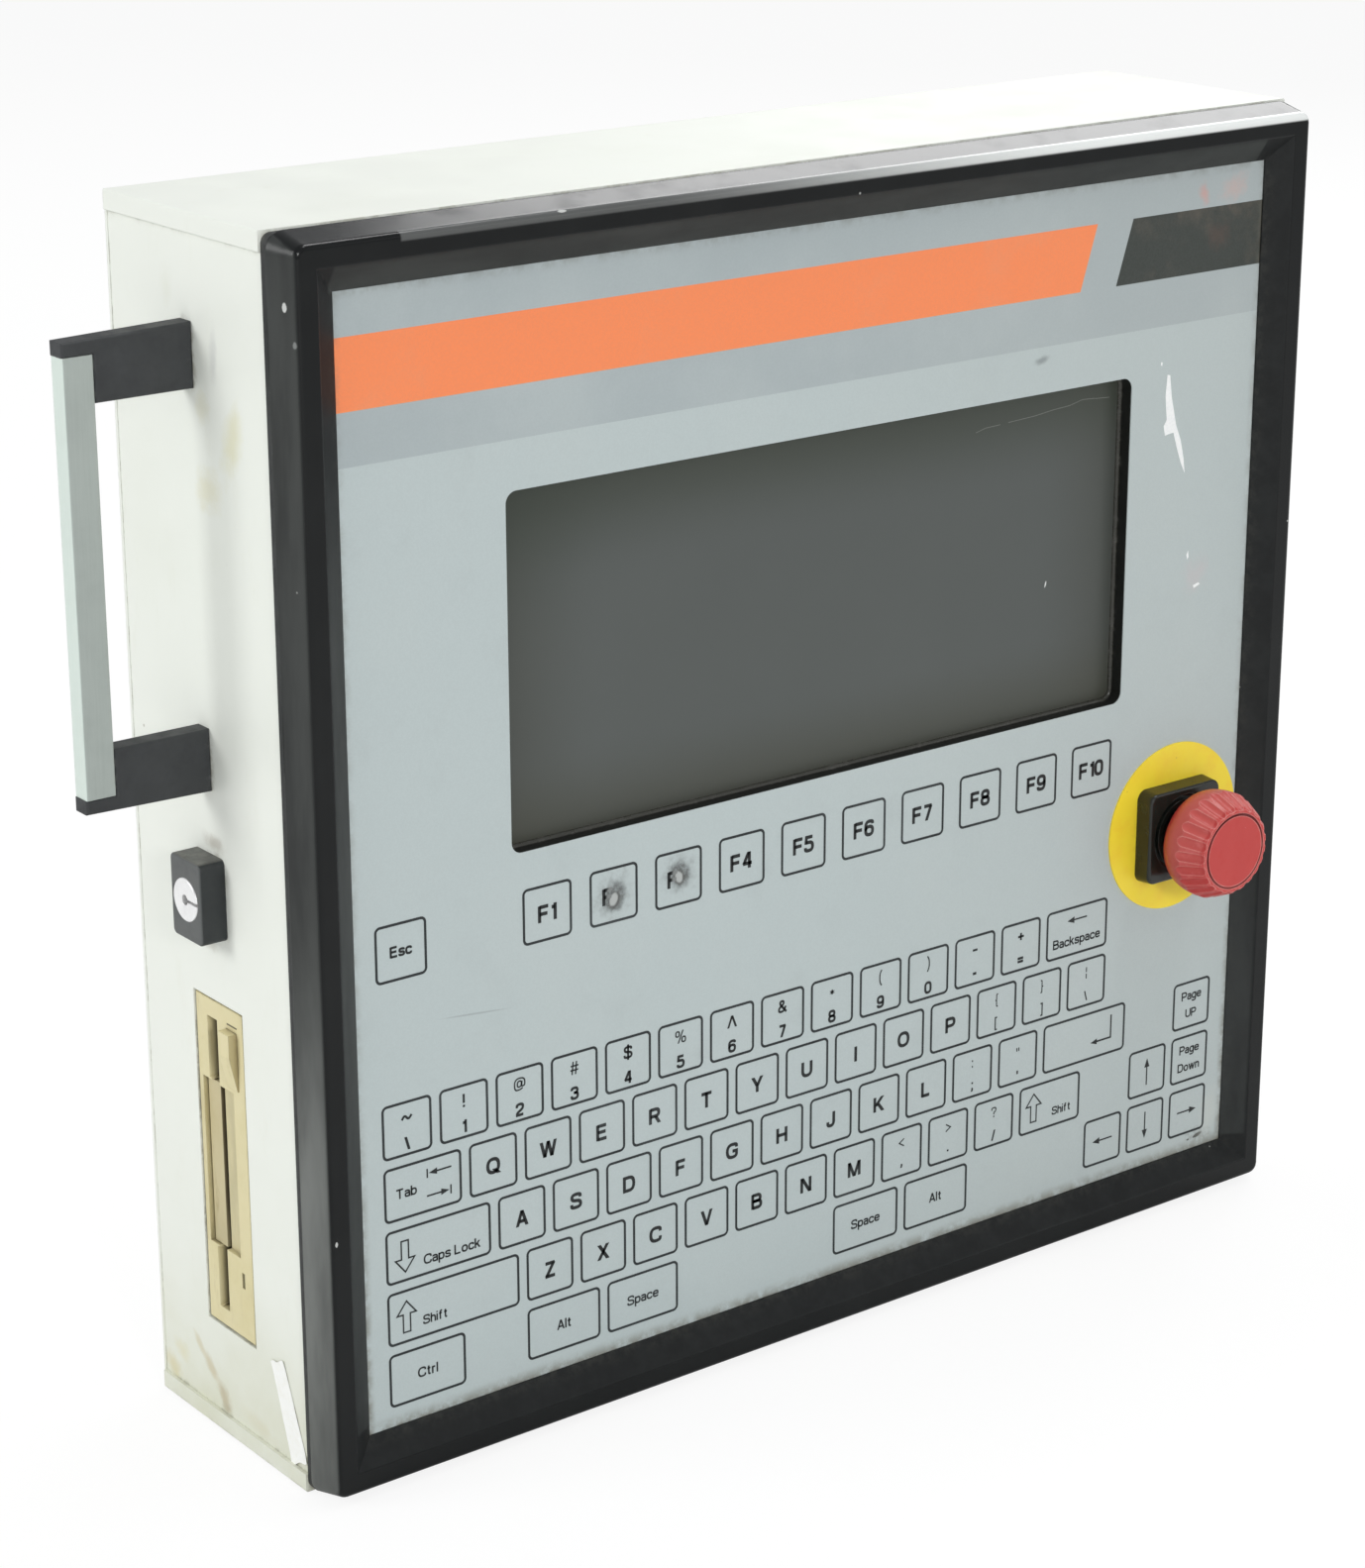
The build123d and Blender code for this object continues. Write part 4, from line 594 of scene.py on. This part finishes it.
class Print:
    """Flat print on the foil. Places are millimetres from the lower left corner of the printed face."""

    def __init__(self, lift=PRINT_LIFT):
        self.points, self.faces, self.lift = [], [], lift

    def add(self, places, faces):
        start = len(self.points)
        self.points += [(FACE_X + x * MM, FACE_Y - self.lift, FACE_Z + z * MM) for x, z in places]
        self.faces += [tuple(start + n for n in face) for face in faces]

    def strip(self, outer, inner):
        """Band between two closed lines with as many points each."""
        count = len(outer)
        faces = [(n, (n + 1) % count, count + (n + 1) % count, count + n) for n in range(count)]
        self.add(outer + inner, faces)

    def line(self, places, width, closed=False):
        """Line of even width with mitred corners."""
        count = len(places)
        sides = ([], [])
        for n, (x, z) in enumerate(places):
            before = places[n - 1] if n or closed else None
            after = places[(n + 1) % count] if n < count - 1 or closed else None
            normals = []
            for (ax, az), (bx, bz) in ((before or (x, z), (x, z)), ((x, z), after or (x, z))):
                length = hypot(bx - ax, bz - az)
                if length:
                    normals.append(((az - bz) / length, (bx - ax) / length))
            nx = sum(a for a, b in normals) / len(normals)
            nz = sum(b for a, b in normals) / len(normals)
            grow = width / 2 / (nx * nx + nz * nz)
            sides[0].append((x + nx * grow, z + nz * grow))
            sides[1].append((x - nx * grow, z - nz * grow))
        if closed:
            self.strip(sides[0], sides[1])
        else:
            self.add(sides[0] + sides[1], [(n, n + 1, count + n + 1, count + n) for n in range(count - 1)])

    def path(self, corners, width, closed=False, steps=5):
        """Line through corners (x, z, radius), each rounded by its radius."""
        count, places = len(corners), []
        for n, (x, z, radius) in enumerate(corners):
            if radius and (closed or 0 < n < count - 1):
                ends = []
                for bx, bz, _ in (corners[n - 1], corners[(n + 1) % count]):
                    reach = hypot(bx - x, bz - z)
                    near = min(radius, reach / 2) / reach
                    ends.append((x + (bx - x) * near, z + (bz - z) * near))
                for step in range(steps + 1):
                    t = step / steps
                    places.append(tuple((1 - t) ** 2 * a + 2 * t * (1 - t) * c + t * t * b
                                        for a, c, b in zip(ends[0], (x, z), ends[1])))
            else:
                places.append((x, z))
        apart = [place for n, place in enumerate(places)
                 if n == 0 or hypot(place[0] - places[n - 1][0], place[1] - places[n - 1][1]) > 1e-6]
        self.line(apart, width, closed)

    def bar(self, start, end, width):
        """Straight stroke, cut level at both ends where it leans or stands."""
        (ax, az), (bx, bz) = start, end
        half = width / 2
        if abs(bz - az) < 1e-9:
            places = [(ax, az - half), (bx, az - half), (bx, az + half), (ax, az + half)]
        else:
            half *= hypot(bx - ax, bz - az) / abs(bz - az)
            places = [(ax - half, az), (ax + half, az), (bx + half, bz), (bx - half, bz)]
        self.add(places, [(0, 1, 2, 3)])

    def word(self, text, x, z, height, weight):
        """Text about a middle (x, z); height is that of a capital, weight the stroke's share of it."""
        scale, pen, laid = height / CAPITAL, 0, []
        for sign in text:
            if sign == " ":
                pen += WORD_GAP
                continue
            strokes = []
            for stroke in GLYPHS[sign].split():
                corners = [[int(v) for v in corner.split(",")] + [0]
                           for corner in stroke.lstrip("c").split("/")]
                strokes.append((corners, stroke[0] == "c"))
            across = [corner[0] for corners, _ in strokes for corner in corners]
            laid += [([(corner[0] - min(across) + pen, corner[1], corner[2]) for corner in corners], closed)
                     for corners, closed in strokes]
            pen += max(across) - min(across) + SIGN_GAP
        middle, depth = (pen - SIGN_GAP) / 2, CAPITAL / 2
        if not text[0].isalnum():
            heights = [corner[1] for corners, _ in laid for corner in corners]
            depth = (min(heights) + max(heights)) / 2
        for stroke, closed in laid:
            corners = [(x + (px - middle) * scale, z + (pz - depth) * scale, radius * scale)
                       for px, pz, radius in stroke]
            if len(corners) == 2:
                self.bar(corners[0][:2], corners[1][:2], weight * height)
            else:
                self.path(corners, weight * height, closed)

    def arrow(self, tail, tip, head=3.1, spread=1.15):
        """Thin shaft with a solid head, spread wide to each side."""
        (ax, az), (bx, bz) = tail, tip
        length = hypot(bx - ax, bz - az)
        dx, dz = (bx - ax) / length, (bz - az) / length
        neck = (bx - dx * head, bz - dz * head)
        self.line([tail, neck], SHAFT)
        self.add([tip, (neck[0] - dz * spread, neck[1] + dx * spread),
                  (neck[0] + dz * spread, neck[1] - dx * spread)], [(0, 1, 2)])

    def hollow_arrow(self, x, z, up, width=6.4, height=9.6, stem=2.4, line=0.5):
        """Outlined arrow about a middle, pointing up or down."""
        neck = height / 2 - height * 0.42
        outline = [(0, height / 2), (width / 2, neck), (stem / 2, neck), (stem / 2, -height / 2),
                   (-stem / 2, -height / 2), (-stem / 2, neck), (-width / 2, neck)]
        self.line([(x + px, z + up * pz) for px, pz in outline], line, closed=True)

    def key(self, left, top, width, height, radius=1.8, line=0.8):
        """Outline of a key."""
        self.strip(*([(x, z) for x, z, _ in rounded(left, top - height, left + width, top, radius, shrink)]
                     for shrink in (0, line)))


# Plain sans serif signs with capitals 100 high, one a row: strokes of points x,z or x,z,corner radius, with c
# before closed ones
CAPITAL, SIGN_GAP, WORD_GAP = 100, 23, 34
GLYPHS = dict(row.split(" ", 1) for row in r'''A 8,0/42,100 76,0/42,100 22,31/62,31
B 8,0/8,100 8,92/67,92,23/67,52,23/8,52 8,52/72,52,23/72,8,23/8,8
C 79,66/79,92,34/8,92,42/8,8,42/79,8,34/79,34
D c8,8/8,92/77,92,40/77,8,40
E 8,0/8,100 8,92/70,92 8,52/66,52 8,8/72,8
F 8,0/8,100 8,92/68,92 8,50/62,50
G 79,70/79,92,32/8,92,42/8,8,42/79,8,30/79,47/48,47
H 8,0/8,100 74,0/74,100 8,52/74,52
I 8,0/8,100
J 54,100/54,8,28/7,8,26/7,36
K 8,0/8,100 70,100/14,39 74,0/34,56
L 8,0/8,100 8,8/66,8
M 8,0/8,100 90,0/90,100 9,100/49,0 89,100/49,0
N 8,0/8,100 74,0/74,100 10,100/72,0
O c8,8,42/8,92,42/84,92,42/84,8,42
P 8,0/8,100 8,92/70,92,26/70,44,26/8,44
Q c8,8,42/8,92,42/84,92,42/84,8,42 52,30/86,-4
R 8,0/8,100 8,92/70,92,25/70,48,25/8,48 46,48/74,0
S 69,70/69,92,26/9,92,28/9,56,22/72,46,23/72,8,28/7,8,28/7,31
T 38,0/38,100 0,92/76,92
U 8,100/8,8,32/74,8,32/74,100
V 6,100/40,0 74,100/40,0
W 5,100/30,0 55,100/30,0 55,100/80,0 105,100/80,0
X 7,100/71,0 69,100/5,0
Y 5,100/39,40 73,100/39,40 39,0/39,46
Z 4,92/70,92 3,8/72,8 63,92/12,8
a 9,54/9,65,16/52,65,20/52,0 52,40/7,40,15/7,8,15/52,8,16/52,26
b 8,0/8,100 c8,8,24/8,65,24/59,65,24/59,8,24
c 56,48/56,65,22/8,65,27/8,8,27/56,8,22/56,25
e 8,37/60,37/60,65,26/8,65,26/8,8,26/57,8,22/57,20
f 16,0/16,92,22/38,92 2,66/35,66
g c8,8,24/8,65,24/58,65,24/58,8,24 58,73/58,-22,24/9,-22,22/9,-12
h 8,0/8,100 8,40/8,65,22/53,65,22/53,0
i 8,0/8,73 8,86/8,100
k 8,0/8,100 52,73/14,30 56,0/29,43
l 8,0/8,100
n 8,0/8,73 8,40/8,65,22/53,65,22/53,0
o c8,8,26/8,65,26/60,65,26/60,8,26
p 8,-29/8,73 c8,8,24/8,65,24/59,65,24/59,8,24
r 8,0/8,73 8,40/8,65,22/36,65
s 52,51/52,65,18/8,65,18/8,40,15/54,34,15/54,8,18/7,8,18/7,23
t 17,92/17,8,17/37,8 2,66/35,66
w 4,73/23,0 42,73/23,0 42,73/61,0 80,73/61,0
0 c8,8,30/8,92,30/62,92,30/62,8,30
1 34,0/34,100 10,78/34,78
2 8,66/8,92,26/61,92,27/61,56,18/9,24,14/9,8/64,8
3 8,72/8,92,24/58,92,24/58,53,20/26,53 26,53/61,53,23/61,8,24/7,8,26/7,31
4 50,0/50,100 4,30/68,30 46,100/10,30
5 60,92/14,92/10,49 11,59/61,59,26/61,8,26/7,8,26/7,29
6 c8,8,25/8,59,25/61,59,25/61,8,25 8,36/8,92,32/60,92,24/60,74
7 5,92/64,92 58,92/24,0
8 c11,52,21/11,92,21/59,92,21/59,52,21 c8,8,23/8,52,23/62,52,23/62,8,23
9 c8,41,25/8,92,25/61,92,25/61,41,25 61,64/61,8,32/9,8,24/9,26
~ 5,36/28,70,24/60,30,24/86,64
! 8,32/8,100 8,0/8,18
@ 76,16/48,4,20/6,6,36/6,94,42/94,94,42/94,30,18/66,30,8/70,70 c28,28,20/32,72,20/66,72,16/62,28,16
# 18,0/28,100 48,0/58,100 3,34/72,34 6,67/75,67
$ 67,70/67,90,24/9,90,26/9,56,20/70,46,21/70,10,26/7,10,26/7,30 39,-10/39,110
% c6,54,16/6,94,16/38,94,16/38,54,16 c62,6,16/62,46,16/94,46,16/94,6,16 28,0/72,100
^ 6,6/42,100 78,6/42,100
& 78,2/20,68,12/20,92,16/52,92,16/52,66,16/8,38,16/8,8,22/54,8,22/72,48
* 22,62/22,100 6,70/38,92 38,70/6,92
( 28,106/9,74,24/9,10,24/28,-22
) 9,106/28,74,24/28,10,24/9,-22
_ 0,40/48,40
- 2,40/38,40
+ 3,50/63,50 33,20/33,80
= 3,36/63,36 3,64/63,64
{ 36,104/19,104,14/19,42,12/4,42 4,42/19,42,12/19,-20,14/36,-20
} 4,104/21,104,14/21,42,12/36,42 36,42/21,42,12/21,-20,14/4,-20
[ 30,102/8,102/8,-20/30,-20
] 8,102/30,102/30,-20/8,-20
| 8,-16/8,34 8,52/8,102
\ 4,100/32,0
/ 32,100/4,0
: 8,0/8,18 8,54/8,72
; 8,0/8,18 8,54/8,72 9,2/2,-18
" 8,66/8,100 32,66/32,100
' 8,66/8,100
< 60,16/7,50/60,84
> 7,16/60,50/7,84
, 8,0/8,18 9,2/2,-18
. 8,0/8,18
? 8,68/8,92,24/56,92,26/56,58,20/32,46,12/32,29 32,0/32,18'''.split("\n"))
# Widths of strokes: shares of a capital's height, and an arrow's shaft
BOLD, MEDIUM, LIGHT = 0.22, 0.182, 0.12
SHAFT = 0.52

# Letter keys: pitch, size, and how far the outermost are from the left and lower edge of the print
PITCH, KEY, MARGIN, FOOT = 19.05, 16.5, 7.35, 5.9
# Function keys: width of the print, size, margin to both sides, top; where the escape key begins
PRINT_WIDTH, FUNCTION, FUNCTION_MARGIN, FUNCTION_TOP, ESCAPE = 336, 16.9, 55.7, 151.5, 6.8
FUNCTION_PITCH = (PRINT_WIDTH - 2 * FUNCTION_MARGIN - FUNCTION) / 9
# Function keys, counted from 0, whose digits have been rubbed off
WORN = (1, 2)
outlines, legends = Print(), Print()


def add_key(row, column, width=1.0, words=()):
    """One key and its words: each word, how far its middle is right of the key's left edge (None: in the
    key's middle) and below its top, and its height. Gives the key's left edge, middle and top."""
    left, wide = MARGIN + column * PITCH, width * PITCH - (PITCH - KEY)
    middle, top = left + wide / 2, FOOT + (5 - row) * PITCH - (PITCH - KEY)
    outlines.key(left, top, wide, KEY)
    for word, across, down, height in words:
        legends.word(word, middle if across is None else left + across, top - down, height, MEDIUM)
    return left, middle, top


def add_pairs(row, first, pairs, upper_size=4.0, lower_size=3.9, lower_weight=BOLD):
    """Keys with one sign over another."""
    for column, (over, under) in enumerate(pairs):
        left, middle, top = add_key(row, first + column)
        legends.word(over, middle, top - 5.0, upper_size, MEDIUM if over in "!$^&+_~" else LIGHT)
        legends.word(under, middle, top - 12.8, lower_size, lower_weight)


def add_letters(row, first, letters):
    for column, letter in enumerate(letters):
        left, middle, top = add_key(row, first + column)
        legends.word(letter, middle, top - 8.5, 4.9, BOLD)


add_pairs(0, 0, zip("~!@#$%^&*()_+", "\\1234567890-="))
left, middle, top = add_key(0, 13, 1.5, [("Backspace", None, 11.4, 3.1)])
legends.arrow((middle + 4.2, top - 4.6), (middle - 4.2, top - 4.6), head=3.0, spread=1.1)

left, middle, top = add_key(1, 0, 1.5, [("Tab", 7.4, 8.4, 3.0)])
for height, start, end in ((-4.7, 22.6, 15.0), (-11.6, 14.2, 21.8)):
    legends.arrow((left + start, top + height), (left + end, top + height), head=2.8, spread=1.0)
    stop = left + end + (0.5 if end > start else -0.5)
    legends.bar((stop, top + height - 1.4), (stop, top + height + 1.4), 0.5)
add_letters(1, 1.5, "QWERTYUIOP")
add_pairs(1, 11.5, zip("{}|", "[]\\"), 3.3, 3.3, 0.15)

left, middle, top = add_key(2, 0, 2, [("Caps Lock", 22.2, 11.7, 3.05)])
legends.hollow_arrow(left + 6.4, top - 8.8, -1)
add_letters(2, 2, "ASDFGHJKL")
add_pairs(2, 11, zip(":\"", ";'"), 3.5, 3.5, MEDIUM)
left, middle, top = add_key(2, 13, 2)
legends.line([(left + 29.4, top - 3.1), (left + 29.4, top - 10.9), (left + 23.4, top - 10.9)], 0.62)
legends.arrow((left + 23.6, top - 10.9), (left + 20.6, top - 10.9), head=2.8, spread=1.0)
add_key(2, 16, 1, [("Page", None, 5.0, 3.0), ("UP", None, 11.2, 2.9)])

left, middle, top = add_key(3, 0, 2.5, [("Shift", 16.0, 11.2, 2.9)])
legends.hollow_arrow(left + 6.4, top - 8.4, 1)
add_letters(3, 2.5, "ZXCVBNM")
add_pairs(3, 9.5, zip("<>?", ",./"), 3.6, 3.6, MEDIUM)
left, middle, top = add_key(3, 12.5, 1.5, [("Shift", 18.2, 11.2, 2.8)])
legends.hollow_arrow(left + 6.2, top - 8.0, 1)
left, middle, top = add_key(3, 15)
legends.arrow((middle, top - 13.0), (middle, top - 3.6))
add_key(3, 16, 1, [("Page", None, 5.0, 3.0), ("Down", None, 11.2, 3.0)])

for column, word in ((0, "Ctrl"), (2.5, "Alt"), (4, "Space"), (8.5, "Space"), (10, "Alt")):
    add_key(4, column, 1.5, [(word, None, 8.2, 3.1)])
for column, dx, dz in ((14, -4.3, 0), (15, 0, -4.7), (16, 4.3, 0)):
    left, middle, top = add_key(4, column)
    legends.arrow((middle - dx, top - 8.2 - dz), (middle + dx, top - 8.2 + dz))

outlines.key(ESCAPE, FUNCTION_TOP, FUNCTION, FUNCTION)
legends.word("Esc", ESCAPE + FUNCTION / 2, FUNCTION_TOP - 8.3, 3.2, BOLD)
for number in range(10):
    left = FUNCTION_MARGIN + number * FUNCTION_PITCH
    outlines.key(left, FUNCTION_TOP, FUNCTION, FUNCTION)
    word, aside = ("F", 2.0) if number in WORN else (f"F{number + 1}", 0)
    legends.word(word, left + FUNCTION / 2 - aside, FUNCTION_TOP - 8.6, 5.0, BOLD)

new_piece("key_outlines", outlines.points, outlines.faces, printed_ink("outline_ink", (30, 36, 38)))
new_piece("key_legends", legends.points, legends.faces, printed_ink("legend_ink", (20, 24, 25)))

# White scuffs in the foil, a hair above its print
scuffs = Print(PRINT_LIFT + 0.01 * MM)
for outline in (
    [(298.3, 264.6), (299.5, 264.3), (300.5, 257.5), (301.8, 252.4), (302.9, 248.2), (301.8, 246.0),
     (299.7, 245.8), (298.2, 245.5), (297.5, 248.6), (298.7, 250.4), (297.8, 257.8)],
    [(302.9, 248.2), (305.1, 243.2), (306.6, 237.4), (307.4, 232.3), (305.5, 235.8), (303.3, 241.5),
     (301.8, 246.0)],
    [(295.4, 268.9), (296.1, 268.7), (295.9, 267.6), (295.3, 267.9)],
    [(313.0, 195.4), (315.4, 196.0), (316.0, 195.3), (313.4, 194.4)],
    [(309.6, 205.8), (310.3, 207.2), (310.6, 205.0), (310.0, 204.2)],
):
    scuffs.add(outline, [tuple(range(len(outline)))])
new_piece("foil_scuffs", scuffs.points, scuffs.faces, scuff_white())


def bead_ring():
    """Rounded bead where the screen meets the dark walls of its recess."""
    wall, width, height, radius, across = 1.5 * MM, 1.0 * MM, 1.0 * MM, 3.5 * MM, 8
    path = rounded(trim_low.x + wall, trim_low.z + wall, trim_high.x - wall, trim_high.z - wall, radius,
                   steps=8)
    points = []
    for x, z, turn in path:
        for n in range(across):
            angle = pi / 2 * (1 + n / (across - 1)) if n else pi / 2
            inward = width * -cos(angle)
            points.append((x - inward * cos(turn), glass_low.y - height * sin(angle), z - inward * sin(turn)))
    count = len(path)
    faces = []
    for a in range(count):
        here, there = a * across, (a + 1) % count * across
        faces += [(here + n, here + n + 1, there + n + 1, there + n) for n in range(across - 1)]
    ring = new_piece("screen_bead", points, faces, plain_plastic("bead_grey", (50, 50, 44), 0.25, edge=0.2))
    ring.data.shade_smooth()


bead_ring()


def between(start, end, share):
    return (1 - share) * start + share * end


def near_end(share, reach):
    """0 in the middle part of a length to 1 at both its ends, over reach of the length."""
    return max(0.0, abs(share - 0.5) - (0.5 - reach)) / reach


def tape_strip():
    """Blank strip of paper tape on the left wall, a little proud of it and curled at its ends."""
    corners = ((-21.6, 33.6), (-28.4, 36.2), (-31.0, 5.0), (-39.4, 8.6))
    rows, columns = 24, 8
    points, faces = [], []
    for a in range(rows + 1):
        for b in range(columns + 1):
            u, v = b / columns, a / rows
            ragged = 0.35 * sin(9 * u + 3 * (a > rows / 2)) * (1 if a in (0, rows) else 0)
            y, z = (between(between(first, second, u), between(third, fourth, u), v)
                    for first, second, third, fourth in zip(*corners))
            curl = 0.10 + 0.25 * near_end(v, 0.08) + 0.03 * sin(14 * v) + 0.08 * near_end(u, 0.12)
            points.append((wall_low.x - curl * MM, y * MM, (z + ragged) * MM))
    for a in range(rows):
        for b in range(columns):
            n = a * (columns + 1) + b
            faces.append((n, n + 1, n + columns + 2, n + columns + 1))
    new_piece("tape_strip", points, faces, paper_tape()).data.shade_smooth()


tape_strip()


def screen_scratches():
    """Fine scratches on the screen near its upper right corner, in the frame of the part."""
    made = Print()
    for places in (((57.2, 272.3), (61, 273.2), (66.9, 273.4)),
                   ((70, 273.6), (80.8, 274.1), (88, 274.9), (94.9, 275.3)),
                   ((94.9, 275.3), (100, 276.4), (105, 276.1)), ((105.2, 276), (111.2, 275.6))):
        made.line([(x - FACE_X / MM, z - FACE_Z / MM) for x, z in places], 0.17)
    points = [(x, glass_low.y - PRINT_LIFT, z) for x, y, z in made.points]
    new_piece("screen_scratches", points, made.faces, printed_ink("scratch_grey", (124, 127, 120)))


screen_scratches()


# Floor, light and background
def show(tree, output, share, dull, bright):
    """Send a mix of two shaders to the output."""
    mix = add_node(tree, "MixShader", {0: share, 1: dull.outputs[0], 2: bright.outputs[0]})
    fill(tree, tree.nodes[output], {"Surface": mix.outputs[0]})


def seen_ray(tree):
    """1 on rays that the camera sees, straight or through something clear."""
    rays = add_node(tree, "LightPath").outputs
    seen = {0: rays["Is Camera Ray"], 1: rays["Is Transmission Ray"]}
    return add_node(tree, "Math", seen, operation="MAXIMUM").outputs[0]


def make_floor():
    """Pale floor that takes shadows, lightened towards the white of the background."""
    mesh = bpy.data.meshes.new("floor")
    reach, below, glow_share = 20.0, 0.5 * MM, 0.82
    mesh.from_pydata([(-reach, -reach, 0), (reach, -reach, 0), (reach, reach, 0), (-reach, reach, 0)], [],
                     [(0, 1, 2, 3)])
    floor = bpy.data.objects.new("floor", mesh)
    floor.location.z = -below
    scene.collection.objects.link(floor)
    material = bpy.data.materials.new("pale_floor")
    material.use_nodes = True
    tree = material.node_tree
    shader = tree.nodes["Principled BSDF"]
    fill(tree, shader, {"Base Color": shade_of((232, 232, 231)), "Roughness": 0.9, "Specular IOR Level": 0.1})
    share = add_node(tree, "Math", {0: seen_ray(tree), 1: glow_share}, operation="MULTIPLY")
    glow = add_node(tree, "Emission", {"Color": (1, 1, 1, 1), "Strength": 1.06})
    show(tree, "Material Output", share.outputs[0], shader, glow)
    mesh.materials.append(material)


def make_world():
    """Soft bluish light all round, seen as plain white."""
    world = bpy.data.worlds.new("studio")
    scene.world = world
    world.use_nodes = True
    tree = world.node_tree
    soft = tree.nodes["Background"]
    fill(tree, soft, {"Color": (0.97, 0.985, 1, 1), "Strength": 0.5})
    white = add_node(tree, "Background", {"Color": (1, 1, 1, 1), "Strength": 1.0})
    show(tree, "World Output", seen_ray(tree), soft, white)


def add_light(name, place, aim, width, height, power):
    """Rectangular light at a place, turned to an aim; metres and watts."""
    data = bpy.data.lights.new(name, "AREA")
    data.shape = "RECTANGLE"
    data.size, data.size_y = width, height
    data.energy = power
    light = bpy.data.objects.new(name, data)
    light.location = place
    light.rotation_mode = "QUATERNION"
    light.rotation_quaternion = (Vector(aim) - Vector(place)).to_track_quat("-Z", "Y")
    scene.collection.objects.link(light)


make_floor()
make_world()
add_light("wall_light", (-2.5, 0.9, 1.35), (-0.18, 0, 0.18), 1.1, 1.1, 28)
add_light("front_light", (-0.8, -2.4, 1.0), (0, 0, 0.18), 0.4, 0.4, 17)
add_light("edge_light", (0.6, -0.3, 2.0), (0, -0.05, 0.36), 1.6, 0.25, 11)
add_light("fill_light", (1.8, -1.9, 0.9), (0, 0, 0.18), 1.2, 1.0, 3)
add_light("strip_light", (1.74, 1.22, 1.36), (0, -0.05, 0.36), 1.35, 0.8, 12)

scene.view_settings.view_transform = "Standard"
